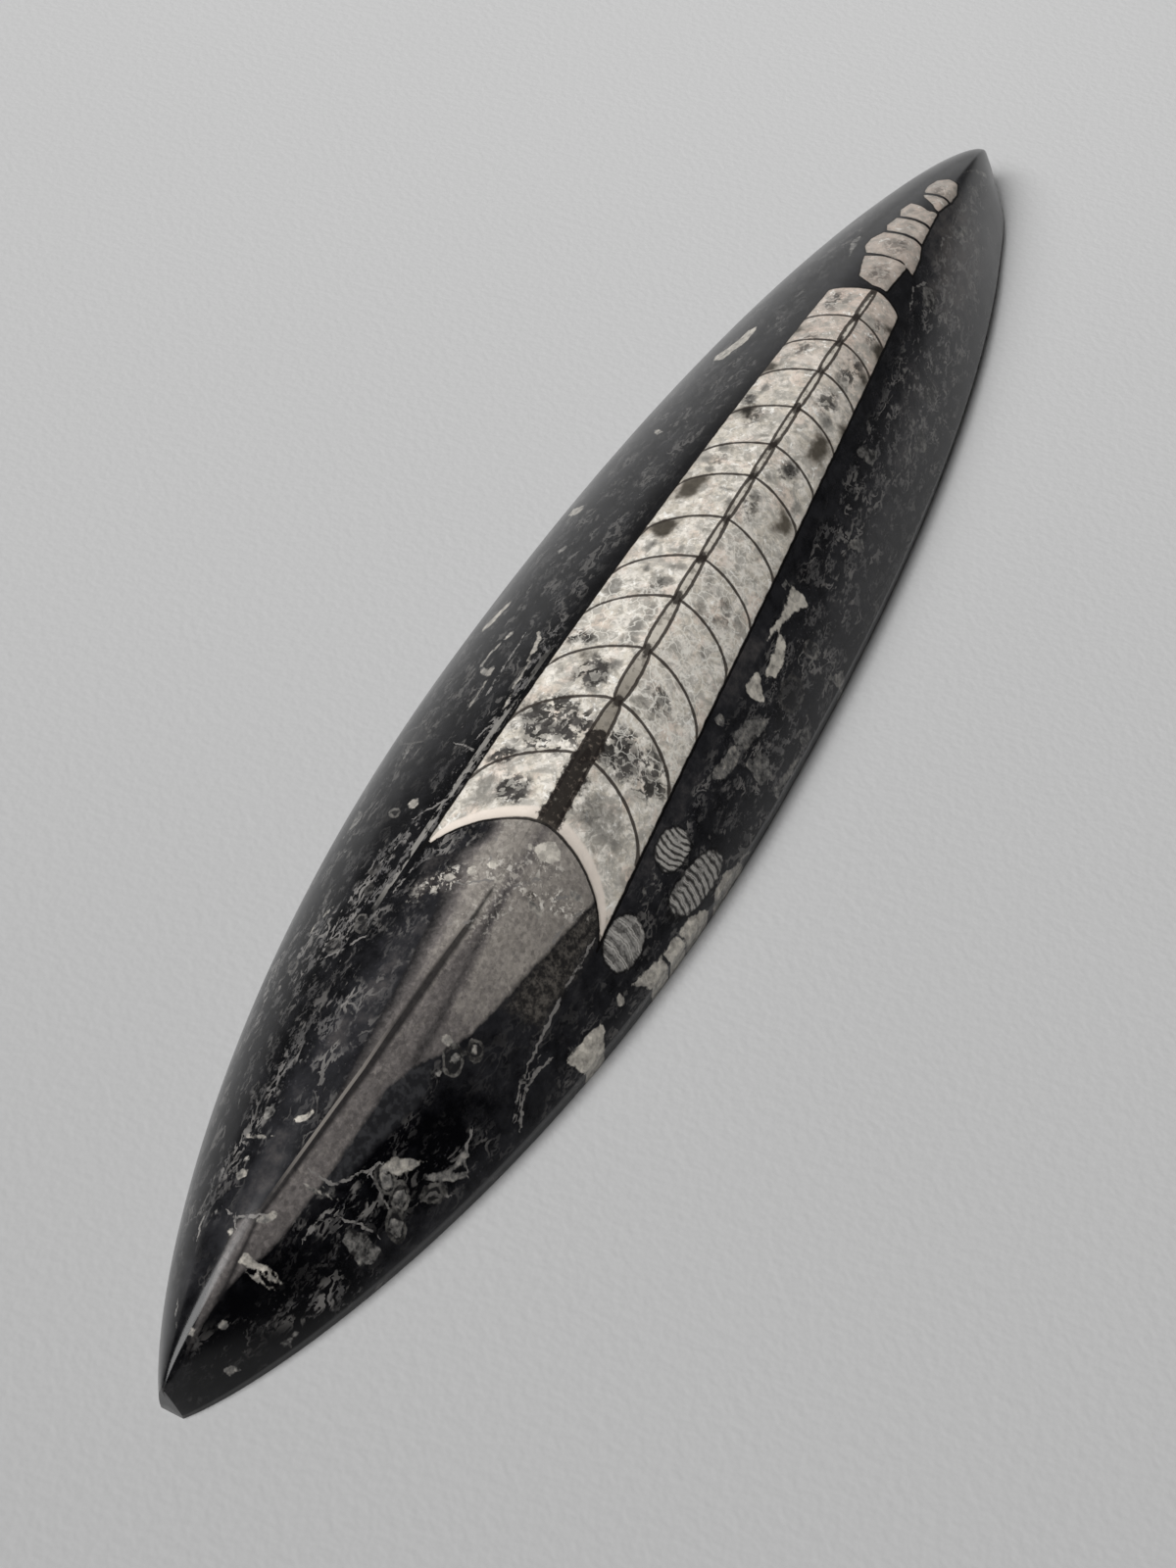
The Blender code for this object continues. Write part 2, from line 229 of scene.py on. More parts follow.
# Big pieces of broken shell in the rock: tone and corners.
PALE_PIECES = (
    (0.85, -64.5, -17.4, -61.5, -17.9, -58.2, -18.6, -58.3, -19.3, -60.5, -20.2, -62.6, -20, -63.9, -18.9),
    (0.7, -55.3, -19, -54.1, -18.9, -53.8, -19.5, -54.8, -19.8, -55.4, -19.4), (0.8, -52.4, -19.5,
    -49, -20.1, -47, -20.5, -46.9, -21.9, -48.5, -21.9, -50.2, -21.5, -51.4, -20.4), (0.92, -46.6, -20.6,
    -44.5, -20.7, -43.4, -20.9, -43.1, -22.8, -44, -22.6, -46.5, -21.9), (0.8, -43.1, -21, -40.5, -21.2,
    -38.4, -21.9, -37.5, -22.5, -37.4, -23.8, -40, -23.4, -42.8, -22.9), (0.66, -37.1, -22.6, -35.6, -22,
    -33, -22, -30, -22.6, -26, -23, -26, -24, -37, -24), (0.95, -5.6, -14.8, -4, -14.5, -0.5, -14.6,
    4, -13.9, 4.5, -15.4, 4, -16.5, 3, -16, 0.6, -15.4, -2.4, -15.2), (0.95, -9.6, -16.2, -6.4, -15.9,
    -3, -15.4, -2.8, -16.2, -5, -17.1, -7.9, -17.3), (0.9, -13.4, -15.3, -11.6, -15.2, -9.6, -15.5,
    -10, -16.1, -10.8, -16.5, -11.9, -17.6, -13.2, -16.7), (0.35, -26.6, -16.6, -23.4, -16.8, -20.5, -17,
    -19.6, -17.7, -21.6, -18.3, -24.2, -18.1), (0.3, -19.7, -16.5, -16.5, -16.8, -13.2, -18.2, -14.8, -18.8,
    -19.4, -18.3), (0.22, -20.4, -18.9, -17.5, -19.1, -16.8, -20.5, -18.2, -21.7, -20.6, -21),
    (0.3, -0.3, -21.4, 3.3, -22.2, 2.2, -22.9, 0.6, -22.7), (0.25, -10.6, -21.8, -7.8, -22, -8.8, -22.8,
    -10.8, -22.6), (0.25, -19.4, -22.2, -12, -22.6, -12, -22.9, -19.4, -22.9), (0.35, 16.4, -16.2,
    18, -16.3, 20.4, -17.3, 19.6, -17.9, 17.6, -17.3), (0.15, 29, -11.9, 31.6, -12.1, 33.2, -13.9,
    30.6, -14.2), (0.62, -86.8, -7.7, -85.2, -8.2, -83.6, -9.8, -82.8, -11, -84.4, -10.2, -85.4, -9.8,
    -86, -9.6), (0.3, -84.6, -11.2, -83.8, -11.2, -82, -13, -79.6, -15, -82.4, -13.6), (0.4, -82.2, -12.8,
    -80.8, -13, -79, -13.3, -79.2, -13.8, -81, -13.5), (0.42, -87.6, -8.2, -86.9, -8, -86.4, -8.8,
    -87, -9.4, -87.9, -9), (0.3, -88.4, -9.9, -87.2, -9.7, -86.4, -10.3, -86.8, -10.9, -88.2, -10.7),
    (0.22, -90.6, -10.4, -89.2, -10.3, -88.8, -11.4, -90.2, -11.7), (0.16, -94.3, -7.6, -92.9, -7.5,
    -92.3, -9, -92.2, -10.8, -93.6, -10.7, -94.8, -9.6), (0.75, -102.3, -1, -101.2, -1, -101, -2.6,
    -100.5, -4.6, -101.2, -3.4, -101.9, -2.4), (0.5, -101.9, -2.7, -101.3, -3.6, -100.6, -5.2, -101, -5,
    -101.6, -3.9), (0.45, -102.7, -1.6, -102.4, -1.8, -102, -3.6, -101.4, -5.8, -102.1, -4.4, -102.5, -3),
    (0.5, -93, -2.5, -92.6, -2.5, -92.2, -4.2, -91.6, -6.2, -92.2, -5, -92.7, -3.9), (0.36, -92.2, -2.6,
    -91.9, -2.8, -91.6, -4.4, -91.1, -5.8, -91.7, -4.8), (0.35, -107.9, -1.7, -107, -1.8, -106.9, -2.4,
    -107.6, -2.5), (0.3, -105, -6.5, -103.2, -7.1, -102.9, -7.6, -104.6, -7.2), (0.3, -110.2, -3.2,
    -109.3, -3.7, -109, -4.4, -110, -3.9), (0.6, -110.1, 0.1, -109.3, 0.2, -109.1, -0.4, -109.9, -0.4),
    (0.5, -98.5, -0.4, -97.8, -0.6, -96.3, -1.7, -96.6, -2.2, -97.8, -1.6), (0.55, -100.6, 1, -100, 1.5,
    -99.6, 1.1, -100, 0.6), (0.35, -99, 3.8, -98.6, 4.3, -98.2, 4, -98.8, 3.4), (0.6, -95.2, 3.3, -94.6, 4,
    -93.9, 3.7, -93.9, 2.9, -94.6, 2.5), (0.35, -93.3, 4, -92.7, 4.1, -92.5, 3.5, -93.1, 3.4),
    (0.38, -91, 5.3, -90.4, 5.4, -90.2, 3.4, -89.7, 1.9, -90.3, 2.4, -90.8, 4), (0.8, -88, 1.3, -87.2, 1.1,
    -86.8, 0.3, -85.9, 0.1, -86.3, -0.6, -87.3, -0.1, -87.9, 0.5), (0.22, -88.8, 4.4, -87.4, 4.9,
    -86.8, 3.8, -88.2, 3.5), (0.3, -78.9, -0.6, -78.3, 0.2, -77.6, 0.3, -78.3, -0.2, -78.7, -1),
    (0.3, -75.6, 0.9, -75.2, 1.9, -74.8, 2.6, -75, 1.6), (0.22, -76.4, 2.4, -76.2, 3.9, -75.8, 3.7,
    -76, 2.4), (0.4, -72.3, 1.2, -72, 1.5, -71.7, 1.2, -72, 0.9), (0.5, -73, -7.2, -72.4, -7, -71.6, -7.6,
    -71.7, -8.4, -72.5, -8.2), (0.4, -76.2, -8.3, -75.6, -8.2, -75, -8.6, -75.7, -8.8), (0.36, -71.6, -10,
    -70.8, -9.9, -70.3, -10.4, -71.2, -10.7), (0.32, -74, -8.9, -73.1, -8.6, -72.3, -9.2, -73.2, -9.6),
    (0.98, -49.9, -6.9, -49.3, -5.9, -48.3, -6.3, -47.3, -6.8, -46.8, -7.6, -47.4, -8.3, -48.2, -8.8,
    -49.4, -8.2), (0.45, -49.9, -5.6, -49.4, -5.2, -48.9, -5.5, -49.3, -5.9), (0.92, -54.3, -3.3,
    -53.6, -2.4, -52.9, -3.2, -52.7, -4, -53.3, -3.9), (0.75, -55.8, -1.4, -55.2, -0.9, -54.6, -1.3,
    -54.9, -2.2, -55.6, -2), (0.6, -57.6, 0.7, -56.6, 1.2, -56.1, 0.4, -56.4, -0.6, -57, -0.2),
    (0.62, -50.6, -11, -50, -10.6, -49.3, -11.9, -50, -12.4, -50.6, -11.8), (0.55, -55.3, -9.7, -54.9, -8.2,
    -54.1, -7.6, -54.2, -9.4, -54.8, -10), (0.5, -66.7, 13.1, -64.6, 12.7, -62.6, 11.9, -61.4, 11.3,
    -62.8, 12.5, -64.8, 13.2), (0.62, -48.7, 10.1, -48.1, 10.8, -47.2, 10.6, -47, 9.8, -47.8, 9.3,
    -48.6, 9.5), (0.4, -54.6, 15.7, -54, 16.1, -53.6, 15.7, -54.1, 15.4), (0.26, -52, 18, -50.6, 17.6,
    -49.4, 16.6, -48, 17, -46.6, 18.6, -48.6, 18, -50, 18), (0.34, -41, 16.1, -39.4, 16.3, -38.2, 17,
    -38.6, 16, -40, 15.9), (0.62, -35.3, 5.8, -32, 6.2, -29.4, 6.9, -26.6, 6.9, -23.4, 7.3, -20.8, 7.9,
    -19.6, 8.7, -20.1, 9, -21, 8.4, -24, 7.8, -26.4, 7.3, -28.4, 7.6, -30.6, 6.9, -34.4, 6.4),
    (0.46, -27.6, 11.7, -26.6, 13.2, -25.4, 14, -22.6, 13.8, -20.2, 13, -19, 12.5, -20, 12.2, -21.2, 12.9,
    -23.4, 13.4, -25.4, 13.3, -26.4, 12.3, -25, 11.5, -27.4, 11.3, -33.4, 11, -34.6, 10.7, -33, 11.3),
    (0.7, -17.6, 18.2, -16.4, 18.6, -13.6, 17.5, -12, 16.6, -12.8, 16.3, -15, 16.8, -16.8, 17.2),
    (0.22, -4.6, 14.2, -3.6, 14.8, -2.6, 14, -3.4, 13.1), (0.12, -8, 12.6, -5.6, 11.9, -3.8, 10.6,
    -5.2, 10.9, -7.4, 11.9), (0.62, 4.6, 16.4, 6.2, 18.4, 7.6, 18.2, 7, 16.2, 5.6, 15.8), (0.45, 20.8, 12.6,
    21.8, 13.5, 22.8, 13.9, 21.9, 12.5, 21.4, 11.6), (0.8, 39, 11.4, 39.8, 13.1, 41.4, 13.4, 42.8, 12.2,
    44.6, 11.3, 46.8, 11, 47.6, 9.8, 45, 9.5, 42.2, 9.9, 40.8, 10.8), (0.22, 65.6, 3.9, 71, 5.6, 74, 5,
    70, 4.2), (0.3, 82.2, -6.4, 85.4, -6, 88.2, -6.9, 85, -7.6), (0.16, 63.2, -8.3, 66.4, -7.4, 68, -8.4,
    64.6, -10.4), (0.18, 94.4, -4.3, 97, -3.9, 99.6, -4.6, 97, -5.3), (0.3, 97, -2, 101, -2.6, 105, -3.7,
    104.6, -4.2, 100.6, -3.1), (0.12, 40.8, -16.6, 43.4, -17.8, 46.4, -16.2, 44, -15.9), (0.12, 49, -14,
    53, -13.6, 55, -15.2, 50.6, -15.8), (0.28, -20.2, -14.4, -18.8, -14.5, -18.6, -15.1, -19.8, -15.7),
    (0.24, 2.4, -13.1, 3.8, -13, 3.6, -13.6, 2.6, -13.7), (0.2, -44.8, -16.7, -43.4, -16.4, -42.2, -16.4,
    -43.4, -16.9), (0.24, -41.6, -17, -40.6, -16.6, -40.2, -17.3, -40.8, -17.1),
)

# Thin edges of broken shell, cut across: x and y of each point.
THIN_SHELLS = (
    (-72.9, -15.7, -70.6, -15.1, -67.5, -14.9, -63.3, -14.7, -57, -14.7, -52.4, -14.8), (-73.1, -16.5,
    -70.5, -15.7, -67.8, -15.6, -65.7, -16.3), (-40.2, 5.5, -39.4, 7.4, -38.8, 8.4, -38.6, 9.6), (-30.4, 10,
    -26, 10.2, -20.4, 10.4), (-69.3, 8.8, -68.3, 7.3, -66.4, 5.7), (-61.6, 10.2, -59.4, 9.8, -56.4, 9.2),
    (-49.8, 8.6, -48.6, 7.6, -47.2, 6.4), (-37.4, 7.4, -35.8, 7, -35, 6), (-59.8, 5.3, -58.7, 5.2,
    -57.1, 5.1), (-109.4, 1.9, -108.6, 2.5, -107.6, 3), (-101.2, 4.6, -100.2, 5, -99.2, 5.1), (-99.4, 1,
    -98.8, 1.6, -98.4, 2.4), (-96.6, -4.9, -94.4, -5.2, -92.6, -5.8), (-98.6, 1.2, -98.2, 0.2, -97.2, -1.2),
    (-91.3, -3, -91.2, -4.2, -90.6, -5.4), (-88.9, -9.8, -88.2, -8.6, -87.6, -7.4), (-92.8, -6.8, -92, -8.4,
    -91.6, -9.8), (-90.4, -5.4, -88.8, -6.2, -86.4, -7.6), (-86.2, -11.9, -84.9, -12.3, -83.8, -13.6),
    (-80.6, -14.2, -79.6, -13.4, -77.4, -13.2), (-57.2, 0, -56.8, -1.8, -55.4, -3.8), (-53.2, -2.6,
    -51.8, -2.4, -50.4, -2), (-74.9, 3.2, -73.6, 3, -72.6, 2.9), (-52, -10.2, -51.2, -10.8, -50.2, -11.2),
    (-61.8, -2.8, -61.2, -3.8, -60.6, -4.3), (-53.9, -6.4, -53, -7.2, -51.8, -7.8), (-56.6, -11.6,
    -54, -11.9, -51.2, -12.6), (60, -7.8, 64, -6.6, 67, -7.4), (76.8, -6.2, 79.6, -5.6, 81.4, -6.6),
    (107.4, 5.4, 109.4, 4.8, 111.8, 3.6), (103, 6.4, 106, 5.8, 108.2, 5.2),
)

# Rings, small shells cut across: place, length, width, turn and tone.
SHELL_RINGS = (
    (-0.1, -18.7, 2.4, 1.4, -12, 0.5), (-7.4, -19.3, 4.8, 2.2, 0, 0.18), (-64.1, 7.2, 1.2, 1.2, 0, 0.3),
    (-67.8, 8.6, 2, 1.6, 30, 0.3), (-49.2, 11.8, 1.6, 1, 50, 0.35), (-87.2, -10.2, 2.2, 1.6, 10, 0.35),
    (-87.1, -8.6, 2, 2, 0, 0.28), (-89.6, -11, 2.4, 1.8, 20, 0.26), (-84.6, -12.6, 2.4, 1.2, -30, 0.3),
    (-73.4, -9, 2.8, 1.8, 10, 0.34), (-71, -10.3, 2, 1.4, -10, 0.3), (-36, 17, 5.4, 2.6, 65, 0.22),
    (-60.2, 8.6, 1.4, 1, 10, 0.24), (-65.2, 6.6, 1.6, 1, 70, 0.24), (-57.4, 9.4, 1.2, 0.9, 0, 0.22),
    (-70.2, 12.6, 1.8, 1.1, 30, 0.22),
)
SHELL_RING_WALL = 0.12

# Small ribbed shells: place, length, width, turn, rib spacing, rib radius, lean, tone and how
# much of each rib is dark.
RIBBED_SHELLS = (
    (-36.7, -17, 6, 3, -6, 0.86, -1.2, 0.5, 0.6, 0.24),
    (-37, -20.3, 11.2, 2.7, -7, 1.05, 1.5, 0, 0.5, 0.22),
    (-49.7, -17.2, 7, 3.5, -4, 1.55, 2.3, 0, 0.46, 0.1),
)


# ---------------------------------------------------------------- the stone's form

def half_width(station):
    """Half the stone's width at each station, as a share of its whole width."""
    station = station * (1.0 - TIP_CUT)
    near = np.clip((WIDEST_STATION - station) / (1.0 + WIDEST_STATION), 0.0, 1.0)
    far = np.clip((station - WIDEST_STATION) / (1.0 - WIDEST_STATION), 0.0, 1.0)
    near = (1.0 - near ** NEAR_FULLNESS[0]) ** NEAR_FULLNESS[1]
    far = (1.0 - far ** FAR_FULLNESS[0]) ** FAR_FULLNESS[1]
    far = far + FAR_TIP_BULGE * smooth(station, 0.80, 0.93) * smooth(-station, -0.995, -0.95)
    return 0.5 * np.where(station < WIDEST_STATION, near, far)


def crest_height(station):
    """Height of the crest at each station, as a share of the stone's height."""
    size = np.abs(station) * (1.0 - TIP_CUT)
    near = (1.0 - size ** NEAR_CREST_FULLNESS[0]) ** NEAR_CREST_FULLNESS[1]
    far = (1.0 - size ** FAR_CREST_FULLNESS[0]) ** FAR_CREST_FULLNESS[1]
    return TIP_HEIGHT_SHARE + (1.0 - TIP_HEIGHT_SHARE) * np.where(station < 0.0, near, far)


def side_profile(station, across, side):
    """Height over the back, from the crest to the rim, as a share of the crest's height."""
    middle, tip, sharpening, shoulder, rim = side
    exponent = middle + (tip - middle) * np.abs(station) ** sharpening
    worn = CREST_WEAR * np.abs(station) ** 4
    away = (np.hypot(across, worn) - worn) / (np.hypot(1.0, worn) - worn)
    dome = (1.0 - np.clip(away, 0.0, 1.0) ** exponent) ** (1.0 / shoulder)
    return rim + (1.0 - rim) * dome


def top_points(station, across):
    """Places on the polished top, in metres. across runs from -1 at a rim to 1 at the other."""
    half = half_width(station) * WIDTH
    swing = np.clip(-station, 0.0, 1.0) ** CREST_SWING_POWER
    crest = CREST_OFFSET_SHARE + (NEAR_TIP_CREST_OFFSET_SHARE - CREST_OFFSET_SHARE) * swing
    crest = crest * half
    shoulder = across > 0.0
    y = crest + across * np.where(shoulder, half - crest, half + crest)
    share = np.where(shoulder, side_profile(station, across, SHOULDER_SIDE),
                     side_profile(station, across, FLAT_SIDE))
    return np.stack([0.5 * LENGTH * station, y, HEIGHT * crest_height(station) * share], axis=1)


# ---------------------------------------------------------------- drawing on the stone

def smooth(value, low, high):
    """0 below low, 1 above high, and an even rise between them."""
    share = np.clip((value - low) / (high - low), 0.0, 1.0)
    return share * share * (3.0 - 2.0 * share)


def pairs(numbers):
    """The places in a row of numbers: x, y, x, y and so on."""
    return list(zip(numbers[::2], numbers[1::2]))


def line_distance(x, y, points, closed=False):
    """Distance to a line through the points."""
    ends = list(points[1:]) + ([points[0]] if closed else [])
    nearest = np.full(x.shape, 1e9)
    for (x0, y0), (x1, y1) in zip(points, ends):
        run, rise = x1 - x0, y1 - y0
        along = np.clip(((x - x0) * run + (y - y0) * rise) / (run * run + rise * rise), 0.0, 1.0)
        nearest = np.minimum(nearest, np.hypot(x - x0 - along * run, y - y0 - along * rise))
    return nearest


def inside(x, y, corners):
    """Distance in from the edge of an outline. It is negative outside the outline."""
    within = np.zeros(x.shape, bool)
    for (x0, y0), (x1, y1) in zip(corners, corners[1:] + corners[:1]):
        crosses = (y0 > y) != (y1 > y)
        if y0 != y1:
            within ^= crosses & (x < x0 + (y - y0) * (x1 - x0) / (y1 - y0))
    return np.where(within, 1.0, -1.0) * line_distance(x, y, corners, closed=True)


def turned(x, y, x0, y0, turn):
    """Each place seen from x0, y0, along and beside a direction turned by so many degrees."""
    run, rise = math.cos(math.radians(turn)), math.sin(math.radians(turn))
    return (x - x0) * run + (y - y0) * rise, (y - y0) * run - (x - x0) * rise


def oval(x, y, x0, y0, length, width, turn):
    """How far in each place is in an oval: 1 at its middle, 0 at its edge."""
    along, beside = turned(x, y, x0, y0, turn)
    return 1.0 - np.hypot(along / (0.5 * length), beside / (0.5 * width))


def soft_ovals(x, y, ovals):
    """Soft-edged ovals laid over each other. They fade out to one and a half times their size."""
    cover = np.zeros(x.shape)
    for x0, y0, length, width, turn, depth in ovals:
        reach = smooth(oval(x, y, x0, y0, 1.5 * length, 1.5 * width, turn), 0.0, 0.75)
        cover = np.maximum(cover, depth * reach)
    return cover


def thin_lines(x, y, lines):
    """Signed distance from the nearest of several thin lines, and how far off it is."""
    nearest = np.full(x.shape, FAR_OFF)
    signed = np.full(x.shape, FAR_OFF)
    for numbers in lines:
        points = pairs(numbers)
        for start, end in zip(points, points[1:]):
            away = line_distance(x, y, (start, end))
            side = (x - start[0]) * (end[1] - start[1]) - (y - start[1]) * (end[0] - start[0])
            signed = np.where(away < nearest, np.where(side > 0.0, away, -away), signed)
            nearest = np.minimum(nearest, away)
    return signed, nearest


def outlines(x, y, pieces):
    """Distance into the nearest of several pieces, and the tone of that piece."""
    depth = np.full(x.shape, -FAR_OFF)
    tone = np.zeros(x.shape)
    for piece_tone, *corners in pieces:
        here = inside(x, y, pairs(corners))
        tone = np.where(here > depth, piece_tone, tone)
        depth = np.maximum(depth, here)
    return depth, tone


def shell_sides(x):
    """The siphuncle's middle and the shell's left and right sides, across the stone."""
    return -4.63 + 0.027 * x, 4.2 - 0.0205 * x, -12.4 + 0.073 * x + 0.0003 * x * x


def along_shell(x, y):
    """How far along the shell a place is, in millimetres, following the bowed chamber walls."""
    middle, left, right = shell_sides(x)
    siphuncle = y - middle
    reach = siphuncle / np.where(siphuncle > 0.0, left - middle, right - middle)
    reach = np.clip(reach, 0.0, 1.0)
    left_bow = 2.7 * reach + 4.8 * (1.0 - np.sqrt(1.0 - reach * reach))
    left_bow = left_bow * np.interp(x, (-52.0, -40.0, -20.0, -3.0, 12.0, 28.0, 44.0, 57.0),
                                    (1.22, 1.0, 0.88, 0.80, 0.58, 0.55, 0.36, 0.20))
    right_bow = 1.0 - (1.0 - reach ** 2.2) ** 0.6
    right_bow = right_bow * np.interp(x, (-50.0, -40.0, -20.0, -11.0, -3.0, 5.0, 28.0, 57.0),
                                      (7.0, 5.8, 4.9, 3.8, 3.1, 2.6, 2.4, 1.6))
    return x + np.where(siphuncle > 0.0, left_bow, right_bow)


def shell_fields(x, y):
    """The shell's own coordinates at each place on the stone."""
    middle, left, right = shell_sides(x)
    siphuncle = y - middle
    along = along_shell(x, y)
    slope = (along_shell(x, y + 0.02) - along_shell(x, y - 0.02)) / 0.04
    walls = np.array(CHAMBER_WALLS)
    chamber = np.interp(along, walls, range(len(walls)))
    chamber = np.where(along < walls[0], (along - walls[0]) / OPEN_ROOM, chamber)
    room = np.clip(np.floor(chamber), 0, len(walls) - 2).astype(int)
    spacing = (walls[room + 1] - walls[room]) / np.sqrt(1.0 + slope * slope)

    # The siphuncle is pinched where it passes through each wall, except near the wide end.
    share = np.mod(np.interp(x, walls, range(len(walls))), 1.0)
    swell = np.clip(4.0 * share * (1.0 - share), 0.0, 1.0) ** 0.35
    swell = np.maximum(swell, smooth(-x, 28.5, 31.0))
    half = np.interp(x, (-46.0, -36.0, -28.0, -20.0, -12.0, -5.0, 5.0, 20.0, 40.0, 57.0),
                     (0.95, 0.92, 0.84, 0.76, 0.64, 0.52, 0.44, 0.44, 0.52, 0.42))
    tube = 0.20 + (half - 0.20) * swell - np.abs(siphuncle)

    whole = np.minimum(np.minimum(left - y, y - right),
                       0.8 * np.minimum(along - walls[0], walls[-1] - along))
    ends = np.max([inside(x, y, pairs(corners)) for corners in END_PIECES], axis=0)
    patch_depth, patch_tone = outlines(x, y, MUD_PATCHES)
    left_rooms = smooth(siphuncle, -0.5, 0.5)
    early = smooth(-x, 18.0, 30.0)
    return {
        "chamber": np.where(x > 58.0, 12.5, chamber),
        "spacing": spacing,
        "calcite": np.maximum(whole, ends),
        "end_room": smooth(x, BREAK, 58.4),
        "siphuncle": siphuncle,
        "tube": np.where(x > BREAK, -FAR_OFF, tube),
        "clouding": soft_ovals(x, y, CALCITE_CLOUDS),
        "dendrites": soft_ovals(x, y, DENDRITES),
        "crackle": (1.0 - left_rooms) * smooth(x, -40.0, -28.0) * smooth(-x, -26.0, 8.0)
        + left_rooms * smooth(x, -24.0, -18.0) * smooth(-x, 4.0, 14.0),
        "pinkness": np.clip(0.15 + smooth(x, 22.0, 60.0) - 0.6 * early, 0.0, 1.0),
        "mud_patch": patch_depth,
        "mud_patch_tone": patch_tone,
    }


def living_chamber_fields(x, y):
    """What fills the open living chamber, from the last chamber wall to the near tip."""
    groove_y = np.interp(x, (-104.0, -98.0, -95.0, -90.0, -85.0, -80.0, -75.0, -70.0, -65.0,
                             -61.0, -54.0),
                         (-1.0, -0.7, -1.15, -1.75, -2.3, -2.85, -3.2, -3.6, -3.95, -4.3, -4.6))
    lower_y = np.interp(x, (-114.0, -108.0, -105.0, -102.5, -100.0, -97.0, -93.5, -90.0, -85.0,
                            -80.0, -76.5, -73.0, -70.0, -66.0, -62.0, -57.0, -50.0, -44.0),
                        (-0.4, -0.6, -1.0, -1.7, -2.7, -3.4, -3.8, -4.4, -4.8,
                         -5.2, -6.4, -8.3, -9.3, -10.2, -10.9, -11.8, -13.0, -14.0))
    second_y = np.interp(x, (-78.0, -72.0, -67.0, -62.0, -57.0, -52.0),
                         (-6.0, -6.3, -6.2, -6.1, -5.8, -5.3))
    above = y - groove_y

    # A pale streak runs above the groove. It is wide and soft by the wall, and a line further on.
    streak = np.interp(x, (-112.0, -99.0, -97.0, -90.0, -85.0, -80.0, -70.0, -62.0, -54.0, -48.0),
                       (0.48, 0.56, 0.40, 0.40, 0.48, 0.56, 0.72, 0.90, 0.92, 0.98))
    stations = (-112.0, -104.0, -99.0, -97.0, -86.0, -78.0, -70.0, -60.0, -54.0)
    hold = np.interp(x, stations, (0.1, 1.3, 1.5, 0.1, 0.1, 0.4, 0.7, 1.2, 2.6))
    reach = np.interp(x, stations, (0.7, 1.8, 2.1, 0.7, 0.8, 2.0, 3.0, 4.8, 7.0))
    tone_above = streak * (1.0 - smooth(above, hold, reach))

    band = np.interp(x, (-112.0, -101.0, -92.0, -82.0, -74.0, -66.0, -58.0, -50.0),
                     (0.52, 0.58, 0.68, 0.66, 0.68, 0.76, 0.90, 0.96))
    triangle = np.interp(x, (-76.0, -68.0, -60.0, -50.0), (0.55, 0.80, 0.92, 0.90))
    second = np.exp(-((y - second_y) / 0.42) ** 2) * smooth(x, -79.0, -74.0)
    second = second * smooth(-x, 50.0, 58.0)
    tone_below = np.where((y > second_y) | (x < -77.0), band, triangle) - 0.34 * second
    tone_below = tone_below - 0.20 * np.exp(-((above + 1.3) / 0.5) ** 2) * smooth(x, -72.0, -64.0)
    tone = np.where(above > 0.0, tone_above, tone_below)
    tone = np.where(y < lower_y - 0.25, 0.0, tone)
    tone = np.maximum(tone, soft_ovals(x, y, SPAR_PATCHES))
    black_cap = smooth(oval(x, y, -51.2, 2.0, 10.4, 6.0, -48.0), 0.0, 0.5)
    tone = tone * (1.0 - 0.94 * black_cap) * smooth(-x, 43.0, 45.0)

    groove_half = np.interp(x, (-106.0, -98.0, -94.0, -88.0, -82.0, -74.0, -68.0, -62.0, -57.0),
                            (0.05, 0.07, 0.10, 0.16, 0.22, 0.30, 0.32, 0.26, 0.00))
    wedge = [(-93.0, -4.0), (-90.0, -4.4), (-85.0, -4.8), (-80.0, -5.2), (-76.5, -6.4),
             (-75.4, -7.6), (-78.0, -8.3), (-81.0, -7.7), (-85.0, -6.6), (-90.0, -5.5)]
    lower_mud = [(-46.0, -13.4), (-50.0, -13.0), (-57.0, -11.9), (-62.0, -11.0), (-65.6, -10.6),
                 (-64.0, -14.4), (-56.0, -14.9), (-46.0, -15.0)]
    return {
        "spar_tone": np.clip(tone, 0.0, 1.0),
        "spar_depth": y - lower_y,
        "groove_side": above,
        "groove_half": np.where((x < -56.0) & (x > -106.0), groove_half, -0.2),
        "wedge": inside(x, y, wedge),
        "lower_mud": inside(x, y, lower_mud),
        "flecks": soft_ovals(x, y, FLECKS),
    }


